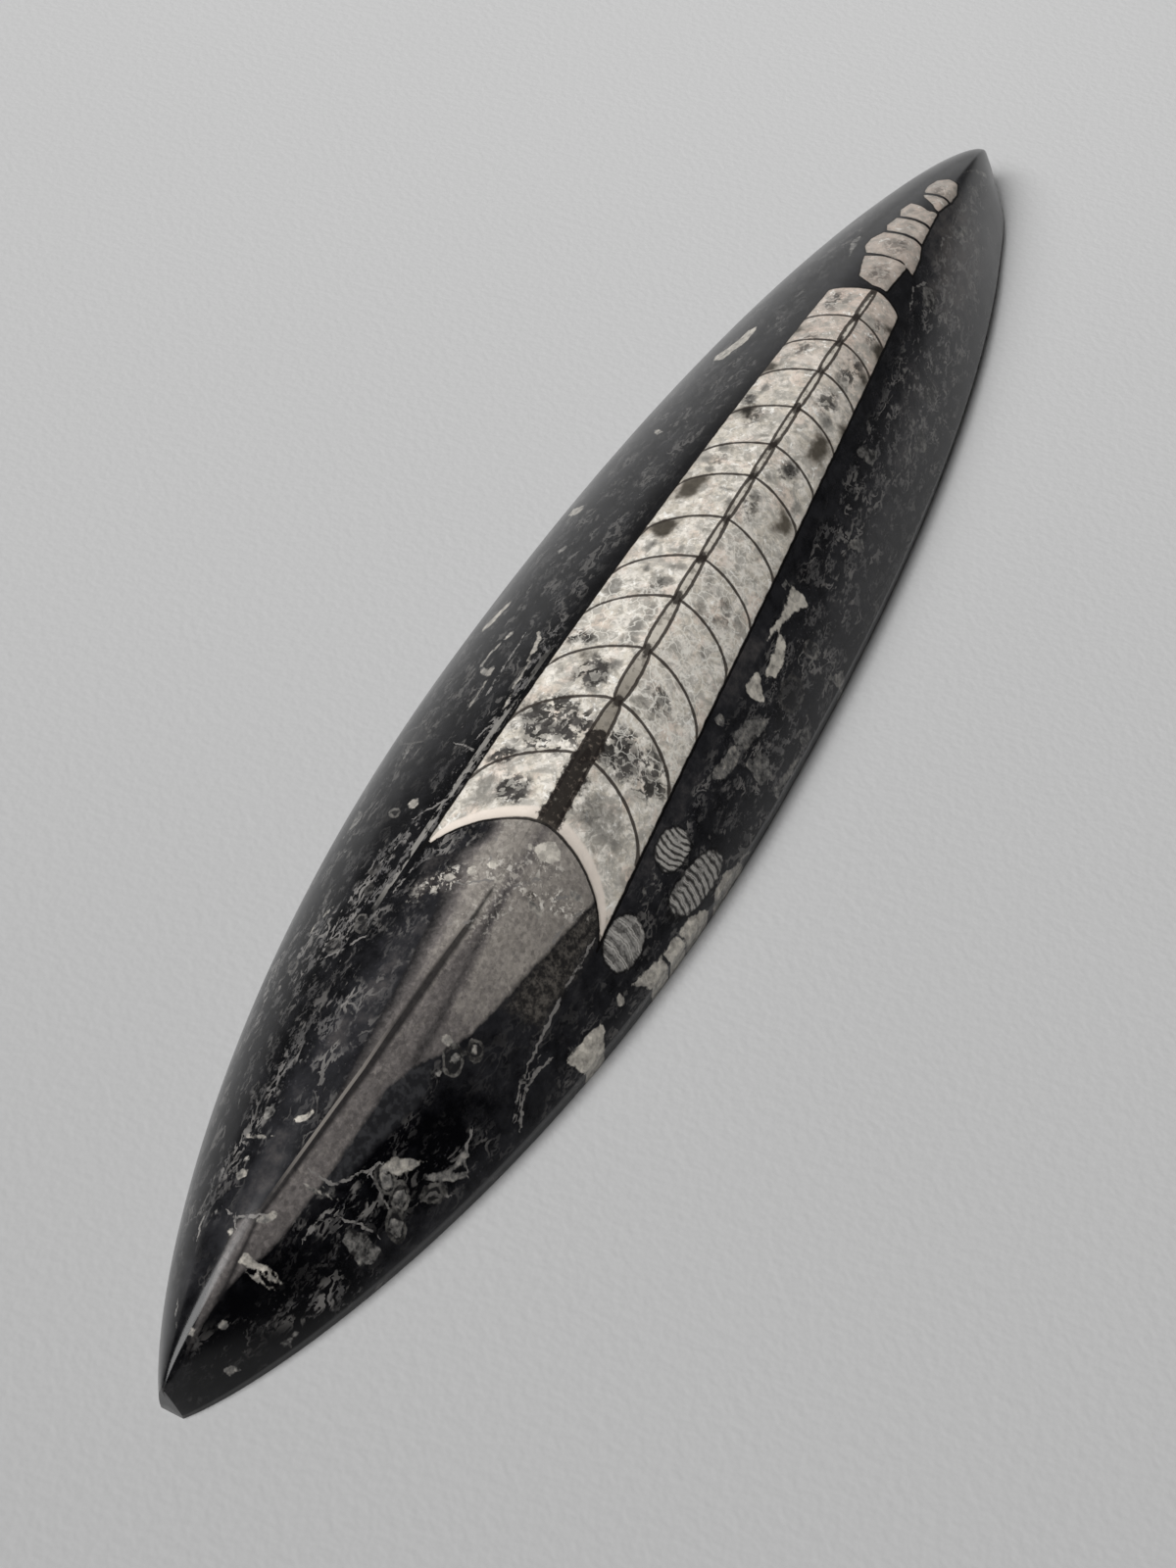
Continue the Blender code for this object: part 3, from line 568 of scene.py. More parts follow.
def rock_fields(x, y):
    """Haze and broken shell in the rock, and the big pieces in it."""
    _, left, right = shell_sides(x)
    outside = -np.minimum(left - y, y - right)
    left_side = smooth(y, 2.0, 6.0)
    beside_shell = smooth(x, -58.0, -46.0)
    haze = 0.36 - 0.22 * left_side
    haze = haze - 0.14 * left_side * beside_shell * smooth(-outside, -3.2, -0.8)
    haze = haze - 0.34 * soft_ovals(x, y, CLEAR_BLACK) + soft_ovals(x, y, HAZY_ROCK)
    bits = 0.34 + soft_ovals(x, y, SHELLY_ROCK) - 0.30 * soft_ovals(x, y, PLAIN_ROCK)
    bits = bits * (1.0 - 0.75 * smooth(-outside, -2.6, -0.6) * smooth(x, -22.0, -14.0))
    bits = bits * (1.0 - 0.70 * smooth(-outside, -2.8, -0.8) * smooth(-y, 8.0, 10.0))
    bits = bits + soft_ovals(x, y, EXTRA_SHELL)
    pieces, piece_tone = outlines(x, y, PALE_PIECES)
    thin, thin_near = thin_lines(x, y, THIN_SHELLS)

    rings = np.full(x.shape, -FAR_OFF)
    ring_tone = np.zeros(x.shape)
    for x0, y0, length, width, turn, tone in SHELL_RINGS:
        here = oval(x, y, x0, y0, length, width, turn) * 0.5 * min(length, width)
        ring_tone = np.where(here > rings, tone, ring_tone)
        rings = np.maximum(rings, here)

    ribbed = np.full(x.shape, -FAR_OFF)
    ribs, ribbed_tone, dark_share = np.zeros((3,) + x.shape)
    for x0, y0, length, width, turn, spacing, radius, lean, tone, dark in RIBBED_SHELLS:
        along, beside = turned(x, y, x0, y0, turn)
        blunt = (np.abs(2.0 * along / length) ** 2.3
                 + np.abs(2.0 * beside / width) ** 2.3) ** (1.0 / 2.3)
        here = (1.0 - blunt) * 0.5 * width
        bow = np.sqrt(np.maximum(radius ** 2 + beside ** 2, 0.01)) - abs(radius)
        phase = (along + lean * beside + np.sign(radius) * bow) / spacing
        ribs = np.where(here > ribbed, phase, ribs)
        ribbed_tone = np.where(here > ribbed, tone, ribbed_tone)
        dark_share = np.where(here > ribbed, dark, dark_share)
        ribbed = np.maximum(ribbed, here)
    return {
        "outside": outside,
        "haze": np.clip(haze, 0.0, 1.0),
        "bits": np.clip(bits, 0.0, 1.0),
        "pieces": pieces,
        "piece_tone": piece_tone,
        "rings": rings,
        "ring_tone": ring_tone,
        "thin": thin,
        "thin_near": thin_near,
        "ribbed": ribbed,
        "ribs": ribs,
        "ribbed_tone": ribbed_tone,
        "dark_share": dark_share,
    }


# ---------------------------------------------------------------- materials

def linear(colour_hex):
    """An sRGB hex colour as linear RGBA."""
    channels = [int(colour_hex[i:i + 2], 16) / 255.0 for i in (1, 3, 5)]
    return tuple(c / 12.92 if c <= 0.04045 else ((c + 0.055) / 1.055) ** 2.4
                 for c in channels) + (1.0,)


def fill(node, inputs):
    """Links or fills a node's inputs, given by name or in order. Colours are given in hex."""
    for key, value in inputs.items() if isinstance(inputs, dict) else enumerate(inputs):
        if isinstance(value, bpy.types.NodeSocket):
            node.id_data.links.new(value, node.inputs[key])
        else:
            node.inputs[key].default_value = linear(value) if isinstance(value, str) else value


def add_node(tree, kind, inputs=(), output=0, **settings):
    """Adds a node with its settings, fills or links its inputs, and gives one output."""
    node = tree.nodes.new("ShaderNode" + kind)
    for name, value in settings.items():
        setattr(node, name, value)
    fill(node, inputs)
    return None if output is None else node.outputs[output]


def new_material(name):
    """A material, its surface shader, what adds its nodes, and places on it in millimetres."""
    material = bpy.data.materials.new(name)
    material.use_nodes = True
    add = functools.partial(add_node, material.node_tree)
    coordinates = add("TexCoord", output="Object")
    place = add("VectorMath", {0: coordinates, 3: 1.0 / MM}, operation="SCALE")
    return material, material.node_tree.nodes["Principled BSDF"], add, place


def clouds(add, place, size, low, high, most=1.0, detail=5.0, roughness=0.6, distortion=0.0):
    """Soft-edged clouds, size millimetres apart: 0 between them, and most inside."""
    noise = add("TexNoise", {"Vector": place, "Scale": 1.0 / size, "Detail": detail,
                             "Roughness": roughness, "Distortion": distortion})
    return add("MapRange", [noise, low, high, 0.0, most], interpolation_type="SMOOTHSTEP")


def inlay(add, below, colour, depth, start, full, most=1.0, gates=()):
    """Lets one colour into another: none where depth is at start, and most of it at full.
    The depth counts only where every gate, from 0 to 1, is open."""
    for gate in gates:
        depth = add("Math", [depth, gate], operation="MULTIPLY")
    cover = add("MapRange", [depth, start, full, 0.0, most], interpolation_type="SMOOTHSTEP")
    return add("MixRGB", [cover, below, colour])


def crystals(add, place, colour, size, strength):
    """Breaks a colour into a mosaic of grains, size millimetres wide, that differ in shade."""
    bend = add("TexNoise", {"Vector": place, "Scale": 1.2 / size, "Detail": 2.0}, output="Color")
    bent = add("VectorMath", [bend, (0.8 * size,) * 3, place],
               operation="MULTIPLY_ADD")
    grains = add("TexVoronoi", {"Vector": bent, "Scale": 1.0 / size}, output="Color")
    grains = add("SeparateXYZ", [grains])
    shade = add("Math", [grains, strength, 1.0 - 1.5 * strength],
                operation="MULTIPLY_ADD")
    drift = add("TexNoise", {"Vector": place, "Scale": 0.7 / size, "Detail": 5.0,
                             "Roughness": 0.72})
    shade = add("Math", [drift, 2.0 * strength, shade], operation="MULTIPLY_ADD")
    return add("VectorMath", {0: colour, 3: shade}, operation="SCALE")


def toned_crystals(add, place, tone, stops, size, strength):
    """Such grains where the colour runs through several stops, from the darkest tone up."""
    colour = add("ValToRGB", [tone])
    ramp = colour.node.color_ramp
    for position, stop_colour in stops:
        ramp.elements.new(position).color = linear(stop_colour)
    ramp.elements.remove(ramp.elements[-1])
    ramp.elements.remove(ramp.elements[0])
    return crystals(add, place, colour, size, strength)


def unsteady(add, value, place, scale, detail, roughness, swing):
    """A value that wanders by about a quarter of swing either way."""
    noise = add("TexNoise", {"Vector": place, "Scale": scale, "Detail": detail,
                             "Roughness": roughness})
    noise = add("Math", [noise, 0.5], operation="SUBTRACT")
    return add("Math", [noise, swing, value], operation="MULTIPLY_ADD")


def ragged(add, depth, place, size, amount, detail=4.0):
    """A drawn depth whose edge wanders by about amount millimetres."""
    return unsteady(add, depth, place, 1.0 / size, detail, 0.6, 4.0 * amount)


def bent_edges(add, place, size, thickness, gate_size, gate, most=1.0):
    """Cut edges of thin broken shell: short bent lines, at the middle height of a noise."""
    noise = add("TexNoise", {"Vector": place, "Scale": 1.0 / size, "Detail": 3.0,
                             "Roughness": 0.5, "Distortion": 0.6})
    # The noise climbs about 1.2 in its own size, so this gives the thickness in millimetres.
    line = add("Math", [noise, 0.5, 0.6 * thickness / size], operation="COMPARE")
    gate = clouds(add, place, gate_size, gate, gate + 0.12, most, 3.0)
    return add("Math", [line, gate], operation="MULTIPLY")


def slivers(add, place, bits, cell, stretch, share):
    """Slivers and crumbs of shell: long cells of a lattice, filled by chance where bits is."""
    stretched = add("VectorMath", [place, (stretch, 1.0, 1.0)], operation="MULTIPLY")
    distance = add("TexVoronoi", {"Vector": stretched, "Scale": 1.0 / cell}, output="Distance")
    chance = add("SeparateXYZ", [distance.node.outputs["Color"]])
    reach = add("Math", [bits, share, chance], operation="MULTIPLY_ADD")
    reach = add("Math", [reach, distance], operation="SUBTRACT")
    filled = add("MapRange", [reach, 1.0, 1.07])
    fainter = add("Math", [chance.node.outputs[1], 2.2], operation="POWER")
    return add("Math", [filled, fainter], operation="MULTIPLY")


def limestone_colour(add, place, drawn, colours):
    """Lime mud full of broken shell: haze, fine grain, bent edges, slivers and crumbs."""
    bits = drawn["bits"]
    drift = add("TexNoise", {"Vector": place, "Scale": 1.0 / 2.6, "Detail": 7.0,
                             "Roughness": 0.68})
    haze = add("Math", [drift, 1.1, drawn["haze"]], operation="MULTIPLY_ADD")
    mud = inlay(add, colours.limestone, colours.limestone_pale, haze, 0.52, 1.45)
    mud = inlay(add, mud, "#6A6460", haze, 1.05, 1.75, 0.8)

    # Grain is 0.1 mm in the rock. It is drawn at 0.3 mm so that it shows.
    grain = clouds(add, place, 0.34, 0.52, 0.74, 0.8, 2.0, 0.7)
    patches = clouds(add, place, 1.9, 0.40, 0.66)
    mud = inlay(add, mud, "#77757A", grain, 0.0, 1.0, gates=(patches, bits))

    slanted = add("VectorMath", [place, (0.55, 1.0, 1.0)], operation="MULTIPLY")
    for size, thickness, gate_size, most, tone in ((1.3, 0.10, 2.2, 1.0, "#807D7A"),
                                                   (0.6, 0.08, 1.3, 0.8, "#6C6A69")):
        edges = bent_edges(add, slanted, size, thickness, gate_size, 0.49, most)
        mud = inlay(add, mud, tone, edges, 0.0, 0.85, gates=(bits,))
    for cell, stretch, share, tone in ((0.55, 0.34, 0.36, "#8F8C88"),
                                       (0.30, 0.60, 0.42, "#7F7C7A")):
        crumbs = slivers(add, place, bits, cell, stretch, share)
        mud = inlay(add, mud, tone, crumbs, 0.0, 1.0, 0.85)
    return mud


def living_chamber_colour(add, place, drawn, below):
    """The living chamber: grey spar above, dark lime mud below, and seams between them."""
    drift = add("TexNoise", {"Vector": place, "Scale": 1.3, "Detail": 6.0, "Roughness": 0.7})
    mud = inlay(add, "#2A2827", "#6A655F", drift, 0.40, 0.70)
    below = inlay(add, below, mud, ragged(add, drawn["lower_mud"], place, 1.8, 0.35),
                  -0.5, 0.9, 0.85)
    drift = add("TexNoise", {"Vector": place, "Scale": 1.2})
    smoked = inlay(add, "#252527", "#38383A", drift, 0.40, 0.62)
    below = inlay(add, below, smoked, drawn["wedge"], -0.5, 0.3)

    tone = drawn["spar_tone"]
    long_grain = add("VectorMath", [place, (0.30, 1.0, 1.0)], operation="MULTIPLY")
    streaky = unsteady(add, tone, long_grain, 1.5, 5.0, 0.62, 0.42)
    speckled = unsteady(add, streaky, place, 2.4, 4.0, 0.7, 0.50)
    spar = toned_crystals(add, place, speckled, ((0.12, "#252425"), (0.42, "#4A4746"),
                                                 (0.68, "#686361"), (0.96, "#928C85")), 0.5, 0.40)
    cover = add("MapRange", [tone, 0.02, 0.16], interpolation_type="SMOOTHSTEP")
    edge = add("MapRange", [ragged(add, drawn["spar_depth"], place, 1.4, 0.14), -0.18, 0.22])
    cover = add("Math", [cover, edge], operation="MULTIPLY")
    below = add("MixRGB", [cover, below, spar])

    # Broken grains sparkle in the spar by the last chamber wall, with mud between them.
    flecks = (drawn["flecks"],)
    between = clouds(add, place, 1.7, 0.48, 0.60, 0.8, 5.0, 0.7, 0.8)
    below = inlay(add, below, "#433E3B", between, 0.0, 1.0, 0.85, flecks)
    for size, thickness, gate_size, tone in ((1.9, 0.20, 0.9, "#DAD5CC"),
                                             (1.0, 0.12, 0.7, "#B9B3AA")):
        strokes = bent_edges(add, place, size, thickness, gate_size, 0.50)
        below = inlay(add, below, tone, strokes, 0.0, 0.8, 0.9, flecks)

    # The groove is a dark seam. Where it is wide, a thin pale rim runs above it: a painted highlight along
    # the groove's upper edge.
    half = drawn["groove_half"]
    off_groove = add("Math", [drawn["groove_side"]], operation="ABSOLUTE")
    in_groove = add("Math", [half, off_groove], operation="SUBTRACT")
    below = inlay(add, below, "#1E1D1E", in_groove, -0.36, 0.10, 0.85)
    rim = add("Math", [drawn["groove_side"], 0.42, 0.16], operation="COMPARE")
    past = add("MapRange", [half, 0.07, 0.16])
    thin_end = add("MapRange", [half, 0.32, 0.22])
    return inlay(add, below, "#8C8680", rim, 0.0, 1.0, 0.75, (past, thin_end))


def calcite_colour(add, place, drawn, colours):
    """Cream calcite that grew in the empty chambers: clouded grey, branched and cracked."""
    fine = add("TexNoise", {"Vector": place, "Scale": 0.62, "Detail": 7.0, "Roughness": 0.66,
                            "Distortion": 0.5})
    calcite = inlay(add, colours.calcite, colours.calcite_warm, fine, 0.42, 0.58)
    calcite = inlay(add, calcite, colours.calcite_thin_end, drawn["pinkness"], 0.0, 1.0, 0.75)
    for tone, *mottling in (("#DCC6B7", 3.4, 0.48, 0.62, 0.45, 4.0, 0.60, 0.0),
                            (colours.calcite_grey, 2.2, 0.43, 0.62, 0.70, 6.0, 0.66, 0.8),
                            (colours.calcite_grey, 0.8, 0.47, 0.64, 0.62, 6.0, 0.66, 0.8),
                            ("#FAF7F0", 1.5, 0.56, 0.68, 0.85, 5.0, 0.66, 1.2)):
        calcite = inlay(add, calcite, tone, clouds(add, place, *mottling), 0.0, 1.0)

    # Drawn clouds, with edges broken up by the same noise.
    cloud = add("Math", [fine, 0.5], operation="SUBTRACT")
    cloud = add("Math", [cloud, 1.9, drawn["clouding"]], operation="MULTIPLY_ADD")
    calcite = inlay(add, calcite, "#86837D", cloud, 0.10, 0.72, 0.85)
    calcite = inlay(add, calcite, "#575552", cloud, 0.72, 1.25, 0.80)
    calcite = crystals(add, place, calcite, 0.75, 0.24)

    # Thin dark branches, and pale cracks healed with clear calcite.
    branches = (drawn["dendrites"],)
    dark = bent_edges(add, place, 2.2, 0.30, 2.2, 0.44)
    calcite = inlay(add, calcite, "#343230", dark, 0.05, 0.7, 0.95, branches)
    small = bent_edges(add, place, 1.0, 0.20, 1.3, 0.46)
    calcite = inlay(add, calcite, "#4A4745", small, 0.05, 0.8, 0.9, branches)
    shift = add("TexNoise", {"Vector": place, "Scale": 0.7}, output="Color")
    bent = add("VectorMath", [shift, (1.8, 1.8, 1.8), place], operation="MULTIPLY_ADD")
    crack = add("TexVoronoi", {"Vector": bent, "Scale": 0.50}, output="Distance",
                feature="DISTANCE_TO_EDGE")
    crack = add("MapRange", [crack, 0.07, 0.0])
    calcite = inlay(add, calcite, "#F0ECE2", crack, 0.0, 1.0, 0.75, (drawn["crackle"],))

    patch = ragged(add, drawn["mud_patch"], place, 1.3, 0.34, 6.0)
    brown = add("MixRGB", [drawn["mud_patch_tone"], "#6B6459", "#1F1C18"])
    brown = crystals(add, place, brown, 0.8, 0.30)
    calcite = inlay(add, calcite, "#8C8478", patch, -0.9, 0.5, 0.6)
    return inlay(add, calcite, brown, patch, -0.30, 0.66, 0.95)


def shell_colour(add, place, drawn, below, colours):
    """The chambered shell, flush in the stone."""
    chamber = drawn["chamber"]
    calcite = calcite_colour(add, place, drawn, colours)
    not_end = add("Math", [1.0, drawn["end_room"]], operation="SUBTRACT")

    # The last chamber wall carries a rim of clean cream calcite, 1.5 mm deep.
    rim = add("MapRange", [chamber, 0.20, 0.15])
    calcite = inlay(add, calcite, "#F0E4D8", rim, 0.0, 1.0, 0.86)

    # Chamber walls: one thin dark line each, 0.35 mm wide.
    off_wall = add("Math", [chamber, 0.5], operation="PINGPONG")
    off_wall = add("Math", [off_wall, drawn["spacing"]], operation="MULTIPLY")
    wobble = add("TexNoise", {"Vector": place, "Scale": 0.8, "Detail": 3.0})
    off_wall = add("Math", [wobble, 0.26, off_wall], operation="MULTIPLY_ADD")
    wall = add("MapRange", [off_wall, 0.44, 0.25], interpolation_type="SMOOTHSTEP")
    inner_walls = add("MapRange", [chamber, 0.3, 0.5, 0.35])
    calcite = inlay(add, calcite, colours.wall_line, wall, 0.0, 1.0, 0.93,
                    (not_end, inner_walls))

    # The siphuncle: grey inside, with a dark line on each side.
    tube = ragged(add, drawn["tube"], place, 0.9, 0.06)
    inner = inlay(add, "#8D867B", "#CFC8BC", chamber, 2.0, 3.4)
    inner = inlay(add, inner, "#5D5850", clouds(add, place, 1.2, 0.50, 0.62), 0.0, 1.0, 0.6)
    calcite = inlay(add, calcite, inner, tube, -0.05, 0.06, 0.9)
    line = add("Math", [tube], operation="ABSOLUTE")
    line = add("MapRange", [line, 0.26, 0.12], interpolation_type="SMOOTHSTEP")
    calcite = inlay(add, calcite, colours.wall_line, line, 0.0, 1.0, 0.92, (not_end,))

    # A dark knot where the siphuncle passes through each wall.
    along_knot = add("Math", [off_wall, 0.58], operation="MULTIPLY")
    beside_knot = add("Math", [drawn["siphuncle"], 1.5], operation="MULTIPLY")
    knot = add("CombineXYZ", [along_knot, beside_knot])
    knot = add("VectorMath", [knot], output="Value", operation="LENGTH")
    knot = add("Math", [wobble, 1.4, knot], operation="MULTIPLY_ADD")
    knot = add("MapRange", [knot, 1.55, 1.20])
    calcite = inlay(add, calcite, "#2E2926", knot, 0.0, 1.0, 0.9, (not_end, inner_walls))

    # Brown clay seeped in along the siphuncle near the wide end.
    clay = ragged(add, drawn["tube"], place, 1.4, 1.0, 8.0)
    near_end = add("MapRange", [chamber, 1.75, 1.35])
    clay = add("Math", [near_end, 2.0, clay], operation="MULTIPLY_ADD")
    clay = add("Math", [clay, 2.0], operation="SUBTRACT")
    clay_colour = inlay(add, "#282422", "#6A6159", clouds(add, place, 0.8, 0.50, 0.72), 0.0, 1.0)
    calcite = inlay(add, calcite, clay_colour, clay, -0.55, 0.0, 0.95)
    calcite = inlay(add, calcite, "#8A7F77", drawn["end_room"], 0.0, 1.0, 0.30)

    # The calcite darkens towards its edge, and a black line of old shell lies round it.
    body = ragged(add, drawn["calcite"], place, 1.6, 0.07)
    shade = add("MapRange", [body, 1.1, 0.0, 0.0, 0.30])
    calcite = inlay(add, calcite, "#6E675E", shade, 0.0, 0.7, 0.7)
    edge = add("Math", [body, 0.05, 0.26], operation="COMPARE")
    below = inlay(add, below, "#0F0D0C", edge, 0.0, 1.0, 0.85)
    return inlay(add, below, calcite, body, 0.02, 0.16)


def strip_by_the_shell(add, place, drawn, below):
    """A thin pale strip, broken up, lies along the left wall, with black on both its sides."""
    strip = add("Math", [drawn["outside"], 1.0, 0.34], operation="COMPARE")
    left = add("Math", [drawn["siphuncle"], 2.0], operation="GREATER_THAN")
    station = add("SeparateXYZ", [place])
    fading = add("MapRange", [station, -18.0, -38.0])
    ends = add("MapRange", [station, -64.0, -58.0])
    stretched = add("VectorMath", [place, (0.5, 1.0, 1.0)], operation="MULTIPLY")
    broken = clouds(add, stretched, 1.4, 0.44, 0.54, 1.0, 4.0)
    return inlay(add, below, "#908D88", strip, 0.0, 1.0, 0.85, (left, fading, ends, broken))


def fragment_colour(add, place, drawn, below):
    """Big pale pieces of shell, rings, thin edges and small ribbed shells."""
    thin = unsteady(add, drawn["thin"], place, 1.1, 3.0, 0.5, 0.9)
    thin = add("Math", [thin, 0.0, 0.13], operation="COMPARE")
    close = add("Math", [drawn["thin_near"], 0.55], operation="LESS_THAN")
    broken = clouds(add, place, 1.3, 0.36, 0.54, 0.9)
    below = inlay(add, below, "#7F7C79", thin, 0.0, 1.0, 1.0, (close, broken))

    rings = ragged(add, drawn["rings"], place, 0.9, 0.15)
    ring = add("Math", [rings], operation="ABSOLUTE")
    shade = clouds(add, place, 1.2, 0.38, 0.66)
    tone = add("Math", [drawn["ring_tone"], shade], operation="MULTIPLY")
    pale = add("MixRGB", [tone, "#262525", "#B9B5AE"])
    below = inlay(add, below, "#2C2B2B", rings, 0.0, 0.2, 0.5)
    below = inlay(add, below, pale, ring, SHELL_RING_WALL + 0.08, SHELL_RING_WALL - 0.04, 0.9)

    pieces = ragged(add, drawn["pieces"], place, 1.1, 0.22, 7.0)
    tone = unsteady(add, drawn["piece_tone"], place, 0.9, 5.0, 0.65, 1.9)
    pale = toned_crystals(add, place, tone, ((0.02, "#2A2929"), (0.34, "#72706D"),
                                             (0.66, "#A29D95"), (0.98, "#CBC5BA")), 0.8, 0.42)
    below = inlay(add, below, pale, pieces, -0.03, 0.14)

    bend = add("TexNoise", {"Vector": place, "Scale": 1.0, "Detail": 4.0})
    ribs = add("Math", [bend, 0.8, drawn["ribs"]], operation="MULTIPLY_ADD")
    off_rib = add("Math", [ribs, 0.5], operation="PINGPONG")
    shell = add("MixRGB", [drawn["ribbed_tone"], "#3E3D3C", "#CBC7C1"])
    shell = crystals(add, place, shell, 0.45, 0.45)
    smear = clouds(add, place, 1.4, 0.46, 0.62, 0.8, 5.0, 0.7)
    shell = inlay(add, shell, "#3A3836", smear, 0.0, 1.0, 0.7)
    faded = clouds(add, place, 1.6, 0.32, 0.50)
    rib = add("Math", [drawn["dark_share"], off_rib], operation="SUBTRACT")
    rib = add("MapRange", [rib, 0.0, 0.14])
    shell = inlay(add, shell, "#242221", rib, 0.0, 1.0, 0.85, (faded,))
    glint = add("Math", [off_rib, 0.38, 0.07], operation="COMPARE")
    shell = inlay(add, shell, "#D5D1CA", glint, 0.1, 0.6, 0.7, (faded, drawn["ribbed_tone"]))
    ribbed = ragged(add, drawn["ribbed"], place, 1.2, 0.16, 5.0)
    below = inlay(add, below, shell, ribbed, 0.0, 0.24, 0.92)
    outline = add("Math", [ribbed, 0.0, 0.09], operation="COMPARE")
    return inlay(add, below, "#131211", outline, 0.0, 1.0, 0.5)


def polished_limestone(settings, field_names):
    """Black limestone, ground with finer and finer grit and buffed. The buffing leaves a soft
    gloss and no visible scratches, and the calcite shines as brightly as the rock."""
    material, surface, add, place = new_material("polished_black_limestone")
    drawn = {name: add("Attribute", output="Fac", attribute_name=name) for name in field_names}
    colour = limestone_colour(add, place, drawn, settings)
    colour = strip_by_the_shell(add, place, drawn, colour)
    colour = living_chamber_colour(add, place, drawn, colour)
    colour = shell_colour(add, place, drawn, colour, settings)
    colour = fragment_colour(add, place, drawn, colour)
    handled = add("TexNoise", {"Vector": place, "Scale": 0.12, "Detail": 3.0})
    gloss = add("MapRange", [handled, 0.35, 0.65,
                             settings.gloss_roughness - 0.03, settings.gloss_roughness + 0.03])
    fill(surface, {"Base Color": colour, "Roughness": gloss, "IOR": 1.5,
                   "Specular IOR Level": 0.30})
    return material


def sawn_limestone():
    """The same limestone where the saw left it: dull, dusty grey, with fine saw marks."""
    material, surface, add, place = new_material("sawn_limestone")
    drift = add("TexNoise", {"Vector": place, "Scale": 0.16, "Detail": 8.0, "Roughness": 0.65})
    tone = inlay(add, "#39393A", "#5C5B59", drift, 0.36, 0.66)
    tone = inlay(add, tone, "#8B8883", bent_edges(add, place, 2.6, 0.30, 2.2, 0.48), 0.0, 1.0, 0.7)
    tone = inlay(add, tone, "#8E8B86", slivers(add, place, 0.8, 1.6, 0.5, 0.5), 0.0, 1.0, 0.7)
    streaked = add("VectorMath", [place, (1.6, 0.02, 1.0)], operation="MULTIPLY")
    marks = add("TexNoise", {"Vector": streaked, "Scale": 1.0, "Detail": 3.0})
    tone = inlay(add, tone, "#2E2E2F", marks, 0.52, 0.70, 0.35)
    bump = add("Bump", {"Height": marks, "Strength": 0.35, "Distance": 0.0002}, output="Normal")
    fill(surface, {"Base Color": tone, "Roughness": 0.75, "IOR": 1.5, "Normal": bump})
    return material


def stage_surface(settings):
    """A sheet of pale embossed card: matt, with a fine leather-like grain."""
    material, surface, add, place = new_material("pale_embossed_card")
    drift = add("TexNoise", {"Vector": place, "Scale": 0.004, "Detail": 2.0})
    tone = inlay(add, settings.floor, settings.floor_shade, drift, 0.3, 0.7)
    # Painted light: the card is made paler toward the far end of the stone, standing in for the window's
    # light falling there.
    far = add("SeparateXYZ", [place])
    far = add("MapRange", [far, -160.0, 180.0, 0.74, 1.20])
    tone = add("VectorMath", {0: tone, 3: far}, operation="SCALE")
    grain = add("TexNoise", {"Vector": place, "Scale": 0.9, "Detail": 1.0},
                noise_dimensions="2D")
    bump = add("Bump", {"Height": grain, "Strength": 0.20, "Distance": 0.0003},
               output="Normal")
    fill(surface, {"Base Color": tone, "Roughness": 0.7, "Specular IOR Level": 0.1,
                   "Normal": bump})
    return material


# ---------------------------------------------------------------- settings

class FossilStoneSettings(bpy.types.PropertyGroup):
    """Sizes and colours of the stone. Colours are sRGB hex."""
    columns: bpy.props.IntProperty(
        name="Columns", description="Mesh columns along the stone", default=620, min=60)
    rows: bpy.props.IntProperty(
        name="Rows", description="Mesh rows across the stone", default=140, min=16)
    edge_rounding: bpy.props.FloatProperty(
        name="Edge Rounding", description="Radius of the worn edge round the back",
        default=0.0007, min=0.0, unit="LENGTH")
    waviness: bpy.props.FloatProperty(
        name="Waviness", description="How far hand grinding left the top from a true curve",
        default=0.00008, min=0.0, unit="LENGTH")
    gloss_roughness: bpy.props.FloatProperty(
        name="Gloss Roughness", description="Roughness of the buffed surface",
        default=0.21, min=0.05, max=0.9, subtype="FACTOR")
    limestone: bpy.props.StringProperty(
        name="Limestone", description="Blackest lime mud", default="#050507")
    limestone_pale: bpy.props.StringProperty(
        name="Pale Limestone", description="Paler haze in the lime mud", default="#333336")
    calcite: bpy.props.StringProperty(
        name="Calcite", description="Cream fill of the chambers", default="#EBE5DB")
    calcite_warm: bpy.props.StringProperty(
        name="Warm Calcite", description="Yellower clouds in the fill", default="#D8D0C2")
    calcite_grey: bpy.props.StringProperty(
        name="Grey Calcite", description="Grey mottling of the fill", default="#ABA79F")
    calcite_thin_end: bpy.props.StringProperty(
        name="Thin End Calcite", description="Pinker fill of the thin end", default="#CDBDB1")
    wall_line: bpy.props.StringProperty(
        name="Chamber Wall", description="Cut edge of a chamber wall", default="#37312D")


class FossilStageSettings(bpy.types.PropertyGroup):
    """The floor, the lamp, the room and the camera."""
    floor: bpy.props.StringProperty(
        name="Floor", description="Colour of the pale floor, as sRGB hex", default="#CBCBCB")
    floor_shade: bpy.props.StringProperty(
        name="Floor Shade", description="Its second, nearly equal colour", default="#C8C8C8")
    floor_size: bpy.props.FloatProperty(
        name="Floor Size", description="Side of the square floor", default=8.0, unit="LENGTH")
    softbox_power: bpy.props.FloatProperty(
        name="Softbox Power", description="Power of the big lamp above the wide end",
        default=52.0, unit="POWER")
    window_brightness: bpy.props.FloatProperty(
        name="Window Brightness", description="Brightness of the far window, low in the room",
        default=0.72, min=0.0)
    room_brightness: bpy.props.FloatProperty(
        name="Room Brightness", description="Brightness of the ceiling behind the stone",
        default=0.16, min=0.0)
    lens: bpy.props.FloatProperty(
        name="Lens", description="Focal length for a 36 mm sensor along the tall side",
        default=47.69, unit="CAMERA")


# ---------------------------------------------------------------- operators

def boundary_edges(cage):
    return [edge for edge in cage.edges if edge.is_boundary]


